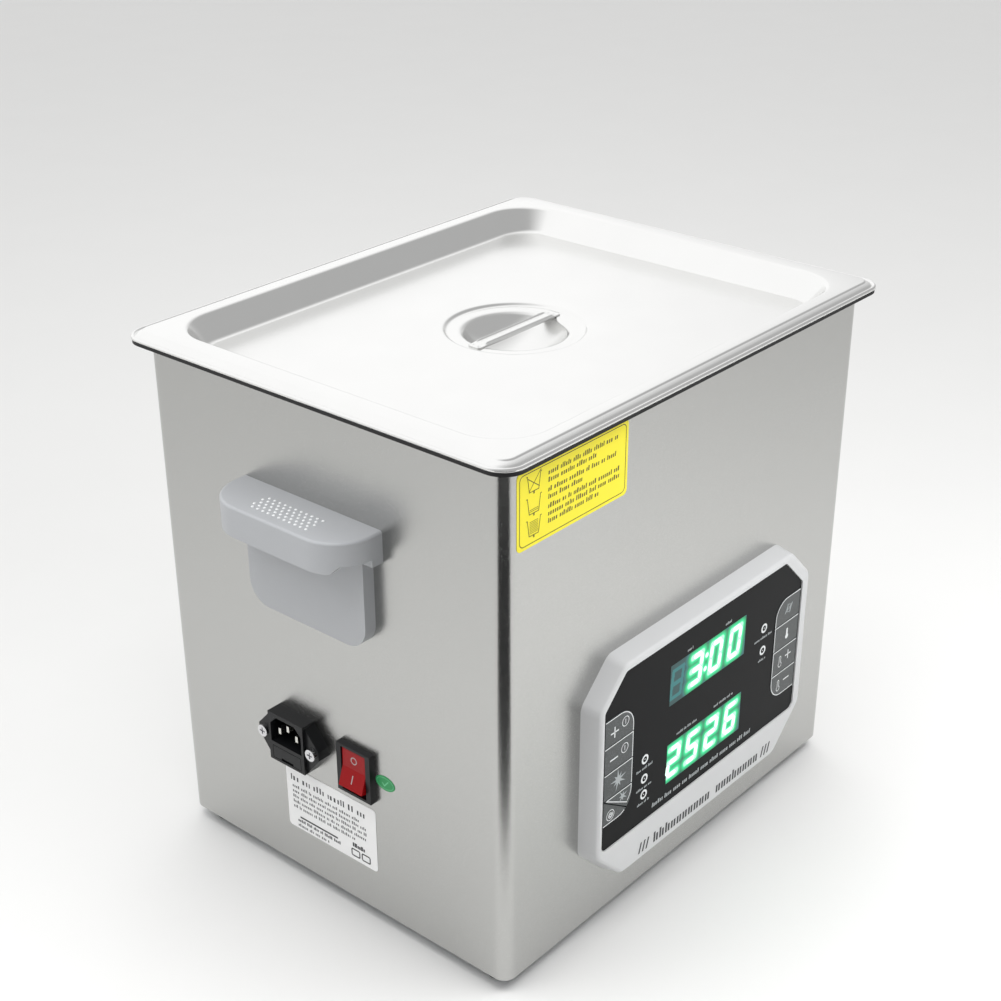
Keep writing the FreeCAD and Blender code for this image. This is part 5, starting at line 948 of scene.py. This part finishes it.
def distance_to(points, a, b):
    """Distance of many flat points to one segment."""
    a, b = np.array(a), np.array(b)
    t = np.clip(((points - a) @ (b - a)) / ((b - a) @ (b - a)), 0, 1)
    return np.linalg.norm(points - (a + t[:, None] * (b - a)), axis=1)


def fade(gap):
    """How brightly the resin's painted glow shines at a distance from a light's edge."""
    return np.exp(-np.maximum(0, gap) / PAINTED_GLOW_FADE)


def make_display(node, digits, colon):
    low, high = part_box(node)
    x0, x1, z0, z1 = (c / MM for c in (low.x, high.x, low.z, high.z))
    cz = (z0 + z1) / 2
    lit = [(letter, x) for digit, x in zip(digits, DIGIT_PLACES) if digit != " " for letter in LIT[digit]]
    off = [(letter, x) for digit, x in zip(digits, DIGIT_PLACES) if digit == " " for letter in LIT["8"]]
    dots = [(COLON_PLACE + dz * LEAN, cz + dz) for dz in (COLON_RISE, -COLON_RISE)] if colon else []
    grid = np.array([(u, v) for v in np.linspace(z0, z1, GRID_UP) for u in np.linspace(x0, x1, GRID_ACROSS)])
    # Painted glow: how brightly each point of the plate shines, from the lit bars, the colon's dots and the
    # bars that are off.
    haze = np.zeros(len(grid))
    for letter, x in lit:
        haze = np.maximum(haze, fade(distance_to(grid, *segment_ends(letter, x, cz)) - BAR / 2))
    for u, v in dots:
        haze = np.maximum(haze, fade(np.hypot(grid[:, 0] - u, grid[:, 1] - v) - COLON_DOT))
    for letter, x in off:
        gap = distance_to(grid, *segment_ends(letter, x, cz))
        haze = np.maximum(haze, np.where(gap < OFF_BAR, OFF_GLOW, OFF_GROUND))
    place = lay_front(WINDOW_FRONT)
    rows = [(r * GRID_ACROSS, (r + 1) * GRID_ACROSS) for r in range(GRID_UP - 1)]
    faces = [(near + c, near + c + 1, far + c + 1, far + c)
             for near, far in rows for c in range(GRID_ACROSS - 1)]
    plate = piece(node + "_haze", [place(u, v) for u, v in grid], faces, painted_glow_material, "case")
    layer = plate.data.attributes.new("haze", "FLOAT", "POINT")
    layer.data.foreach_set("value", haze.astype(np.float32))
    shapes = []
    for letter, x in lit:
        shapes += segment_shape(letter, x, cz, BAR)
    for u, v in dots:
        shapes += blob(arc(u, v, COLON_DOT, 0, 345, 23))
    printed(node + "_digits", shapes, lay_front(WINDOW_FRONT - INK), light_material, "case")
    print(node, "lit bars:", len(lit))


make_display("display_time", " 300", True)
make_display("display_temperature", "2526", False)

# %% [markdown]
# ## Labels on the case
# The yellow notice has a thin inner frame, three small pictures of a tank and three blocks of print. The
# pictures show a crossed-out empty tank, one with a little water and one that is well filled.


# %% Notice label
FRAME_INSET, FRAME_ROUND, FRAME_LINE = 2, 3, 0.45
PICTURE_SIZE, PICTURE_INSET, WATER_PITCH, WATER_LINE = 6.0, 13, 0.9, 0.3


def tank_picture(u, v, size, fill, crossed):
    """A small picture of a tank in section, with its drain and as many lines of water as fill says."""
    brim, floor = v + size * 0.8, v - size * 0.7
    wall = [(u - size, brim), (u - size * 0.85, brim), (u - size * 0.6, floor), (u + size * 0.6, floor),
            (u + size * 0.85, brim), (u + size, brim)]
    shapes = stroke(wall, 0.45) + bar(u - 0.5, v - size * 0.95, u + 0.5, v - size * 0.7)
    for i in range(fill):
        line = v - size * 0.5 + i * WATER_PITCH
        shapes += bar(u - size * 0.55, line, u + size * 0.55, line + WATER_LINE)
    if crossed:
        shapes += stroke([(u - size * 0.8, v + size * 0.6), (u + size * 0.7, v - size * 0.5)], 0.4)
        shapes += stroke([(u - size * 0.6, v - size * 0.6), (u + size * 0.9, v + size)], 0.4)
    return shapes


low, high = (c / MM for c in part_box("notice_label"))
frame_line = round_box(low.x + FRAME_INSET, low.z + FRAME_INSET, high.x - FRAME_INSET, high.z - FRAME_INSET,
                       [FRAME_ROUND] * 4)
notice = stroke(frame_line, FRAME_LINE, True)
tall = high.z - low.z
for i, (fill, crossed) in enumerate(((0, True), (2, False), (8, False))):
    place = high.z - tall * (0.2 + 0.28 * i)
    notice += tank_picture(low.x + PICTURE_INSET, place, PICTURE_SIZE, fill, crossed)
# Each line of print has the drop before its block and its length.
notice_lines = ((0, 58), (0, 42), (1.2, 58), (1.2, 30), (2.4, 60), (2.4, 60), (2.4, 42))
for row, (drop, length) in enumerate(notice_lines):
    z = high.z - 8.2 - row * 4.1 - drop * 0.9
    notice += text_bars(low.x + 24, low.x + 24 + length, z, 2.7, 40 + row, slant=0.12, weight=0.42)
printed("notice_print", notice, lay_front(low.y), brown_ink, "case")
print("lines on the notice:", len(notice_lines))

# %% [markdown]
# ### The rating label and the sticker
# The white rating label has lines of print, one thick rule and two small boxes. The green sticker has a
# thin oval line and a tick. All of them are generic.

# %% Rating label and sticker
low, high = (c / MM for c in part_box("rating_label"))
left, right, foot, head = -high.y, -low.y, low.z, high.z
rating = text_bars(left + 4, right - 6, head - 9.5, 4.2, 60, weight=0.34)
for row, short in enumerate((6, 0, 0, 0, 9)):
    rating += text_bars(left + 5, right - 7 - short, head - 14.5 - 3.7 * row, 2.2, 61 + row, weight=0.4)
rating += bar(left + 10, foot + 8.4, left + 42, foot + 9.6)
rating += text_bars(left + 8, left + 46, foot + 5.2, 2.2, 70, weight=0.5)
rating += text_bars(left + 8, left + 36, foot + 1.6, 2.2, 71, weight=0.4)
rating += text_bars(right - 20, right - 7, foot + 9.5, 3.0, 73, weight=0.6)
for box_left, box_right in ((right - 21, right - 14.5), (right - 12.5, right - 6)):
    rating += stroke(round_box(box_left, foot + 3, box_right, foot + 7.6, (1, 1, 1, 1)), 0.9, True)
printed("rating_print", rating, lay_left(low.x), black_ink, "case")

OVAL_INSET, OVAL_POINTS = 1.1, 48
low, high = (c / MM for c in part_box("check_sticker"))
cu, cv = -(low.y + high.y) / 2, (low.z + high.z) / 2
wide, tall = (high.y - low.y) / 2 - OVAL_INSET, (high.z - low.z) / 2 - OVAL_INSET
angles = [t / OVAL_POINTS * 2 * math.pi for t in range(OVAL_POINTS)]
oval = [(cu + wide * math.cos(t), cv + tall * math.sin(t)) for t in angles]
tick = [(cu - 2.2, cv), (cu - 0.6, cv - 1.8), (cu + 2.6, cv + 2.0)]
# A second, paler pass of the sticker's own green ink.
pale_green_ink = finish("pale_green_ink", "63B988", rough=0.4, ior=1.5, size=0.4, depth=0.002)
sticker = stroke(oval, 0.35, True) + stroke(tick, 0.8)
printed("sticker_print", sticker, lay_left(low.x), pale_green_ink, "case")
print("rating label mm:", round(right - left, 1), "by", round(head - foot, 1))

# %% [markdown]
# ### Signs on the rocker
# A ring for off near the top and a bar for on near the foot. Both are pad-printed in pale ink on the two
# slanting faces, so each lies on the plane between the rocker's corners, and both ride on the rocker.

# %% Rocker signs
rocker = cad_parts["switch_rocker"].data
outward = [p for p in rocker.polygons if p.normal.x < -0.8 and abs(p.normal.y) < 0.05]
upper = max(outward, key=lambda p: p.center.z)
lower = min(outward, key=lambda p: p.center.z)


def lay_on(polygon):
    """Places a flat drawing on a tilted face that looks left. Its v axis climbs the face."""
    out = polygon.normal
    climb = Vector((0, -1, 0)).cross(out)
    climb = climb if climb.z > 0 else -climb
    start = rocker.vertices[polygon.vertices[0]].co
    middle_y = (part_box("switch_rocker")[0].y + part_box("switch_rocker")[1].y) / 2

    def lay(u, v):
        height = v * MM
        along = (height - start.z) / climb.z
        return (start.x + climb.x * along + out.x * INK * MM, middle_y - u * MM, height + out.z * INK * MM)

    return lay


low, high = (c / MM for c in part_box("switch_rocker"))
printed("rocker_off_ring", ring(0, high.z - 6.2, 2.1, 0.55), lay_on(upper), grey_ink, "switch_rocker")
printed("rocker_on_bar", bar(-0.3, low.z + 5.4, 0.3, low.z + 10.4), lay_on(lower), grey_ink, "switch_rocker")
print("rocker faces:", len(outward), [round(p.center.z / MM, 1) for p in (upper, lower)])

# %% [markdown]
# ## Camera
# The camera stands at the front left corner and looks down by about 28 degrees, through a lens of medium
# length. A small shift of the lens sets where the object sits in the frame. AHEAD is the line of sight, and
# DOWN points to the frame's lower side.

# %% Camera
CAMERA_PLACE = (-0.7327, -0.6171, 0.6822)
AHEAD, DOWN = (0.667, 0.5819, -0.4653), (-0.3555, -0.3003, -0.8851)
camera_data = bpy.data.cameras.new("product_camera")
camera_data.lens = 62.6
camera_data.sensor_width = 36.0
camera_data.shift_x = 0.0122
camera_data.shift_y = 0.0401
camera = add_object("product_camera", camera_data)
ahead, down = Vector(AHEAD).normalized(), Vector(DOWN)
up = -(down - ahead * down.dot(ahead)).normalized()
across = ahead.cross(up)
turn = Matrix((across, up, -ahead)).transposed()
camera.matrix_world = Matrix.Translation(CAMERA_PLACE) @ turn.to_4x4()
bpy.context.scene.camera = camera
bpy.context.scene.view_settings.view_transform = "Standard"
print("camera looks down by", round(math.degrees(math.asin(-ahead.z)), 1), "degrees")

# %% [markdown]
# ## Bench and cloth
# The bench is a wide sheet of white paper. A dark cloth in front of the near corner gives that bend its
# dark line, as a dark studio does for polished sheet. Only reflections see the cloth, so the floor stays
# plain and pale from every side.

# %% Bench and cloth
BENCH_HALF, CLOTH_HEIGHT = 4, 0.002
CLOTH_CORNERS = [(-0.42, -0.10), (-0.13, -0.36), (-0.22, -1.9), (-1.9, -0.32)]
# Matt background paper: white with a very faint tooth.
bench_material = finish("bench_paper", "E9E9E8", rough=0.75, ior=1.45, size=3.0, depth=0.004, shade=0.01)
# Black cotton: it swallows nearly all light.
cloth_material = finish("dark_cloth", "101011", rough=0.9, ior=1.4, size=1.2, depth=0.05)


def flat_sheet(name, corners, height, material):
    """A flat sheet on the floor, which isn't part of the object."""
    mesh = bpy.data.meshes.new(name)
    mesh.from_pydata([(x, y, height) for x, y in corners], [], [(0, 1, 2, 3)])
    mesh.materials.append(material)
    made = add_object(name, mesh)
    return made


bench_corners = [(x * BENCH_HALF, y * BENCH_HALF) for x, y in ((-1, -1), (1, -1), (1, 1), (-1, 1))]
flat_sheet("bench", bench_corners, 0.0, bench_material)
cloth = flat_sheet("cloth", CLOTH_CORNERS, CLOTH_HEIGHT, cloth_material)
cloth.visible_camera = False
cloth.visible_diffuse = False
cloth.visible_shadow = False
print("bench metres:", 2 * BENCH_HALF, "by", 2 * BENCH_HALF)

# %% [markdown]
# ## Sky and lamps
# The studio's sky is brightest behind the cleaner, fairly bright overhead, and darkest in front of it and
# to its left. Three soft boxes fill in: a wide one overhead, one over the left handle and one over the
# panel. They light the surfaces but don't show in reflections.

# %% Sky and lamps
SKY_BRIGHT_SIDE, SKY_SPAN, SKY_LEVELS = (0.0, 0.9, 0.436), (0.10, 0.68), (0.48, 1.13)
world = bpy.data.worlds.new("studio_sky")
bpy.context.scene.world = world
world.use_nodes = True
sky = world.node_tree
sky.nodes.clear()
direction = add(sky, "ShaderNodeTexCoord")
toward = add(sky, "ShaderNodeVectorMath", {"operation": "DOT_PRODUCT"}, n0=direction.outputs["Generated"],
             n1=SKY_BRIGHT_SIDE)
level = add(sky, "ShaderNodeMapRange", n0=toward.outputs["Value"], n1=SKY_SPAN[0], n2=SKY_SPAN[1],
            n3=SKY_LEVELS[0], n4=SKY_LEVELS[1])
dome = add(sky, "ShaderNodeBackground", Color=(1, 1, 1, 1), Strength=level.outputs[0])
add(sky, "ShaderNodeOutputWorld", Surface=dome.outputs["Background"])


def soft_box(name, place, aim, width, height, power):
    """A rectangular lamp that looks from its place to its aim. Sizes are in metres and power in watts."""
    data = bpy.data.lights.new(name, "AREA")
    data.shape = "RECTANGLE"
    data.size, data.size_y, data.energy = width, height, power
    lamp = add_object(name, data)
    lamp.location = place
    lamp.visible_glossy = False
    lamp.visible_camera = False
    lamp.rotation_euler = (Vector(aim) - Vector(place)).to_track_quat("-Z", "Y").to_euler()


soft_box("overhead_softbox", (0.0, 0.0, 1.7), (0.0, 0.0, 0.0), 1.6, 1.6, 10.0)
soft_box("left_softbox", (-0.42, 0.0, 0.62), (-0.35, 0.0, 0.0), 0.3, 0.4, 1.0)
soft_box("right_softbox", (0.10, -0.45, 0.62), (0.10, -0.34, 0.0), 0.5, 0.3, 2.2)
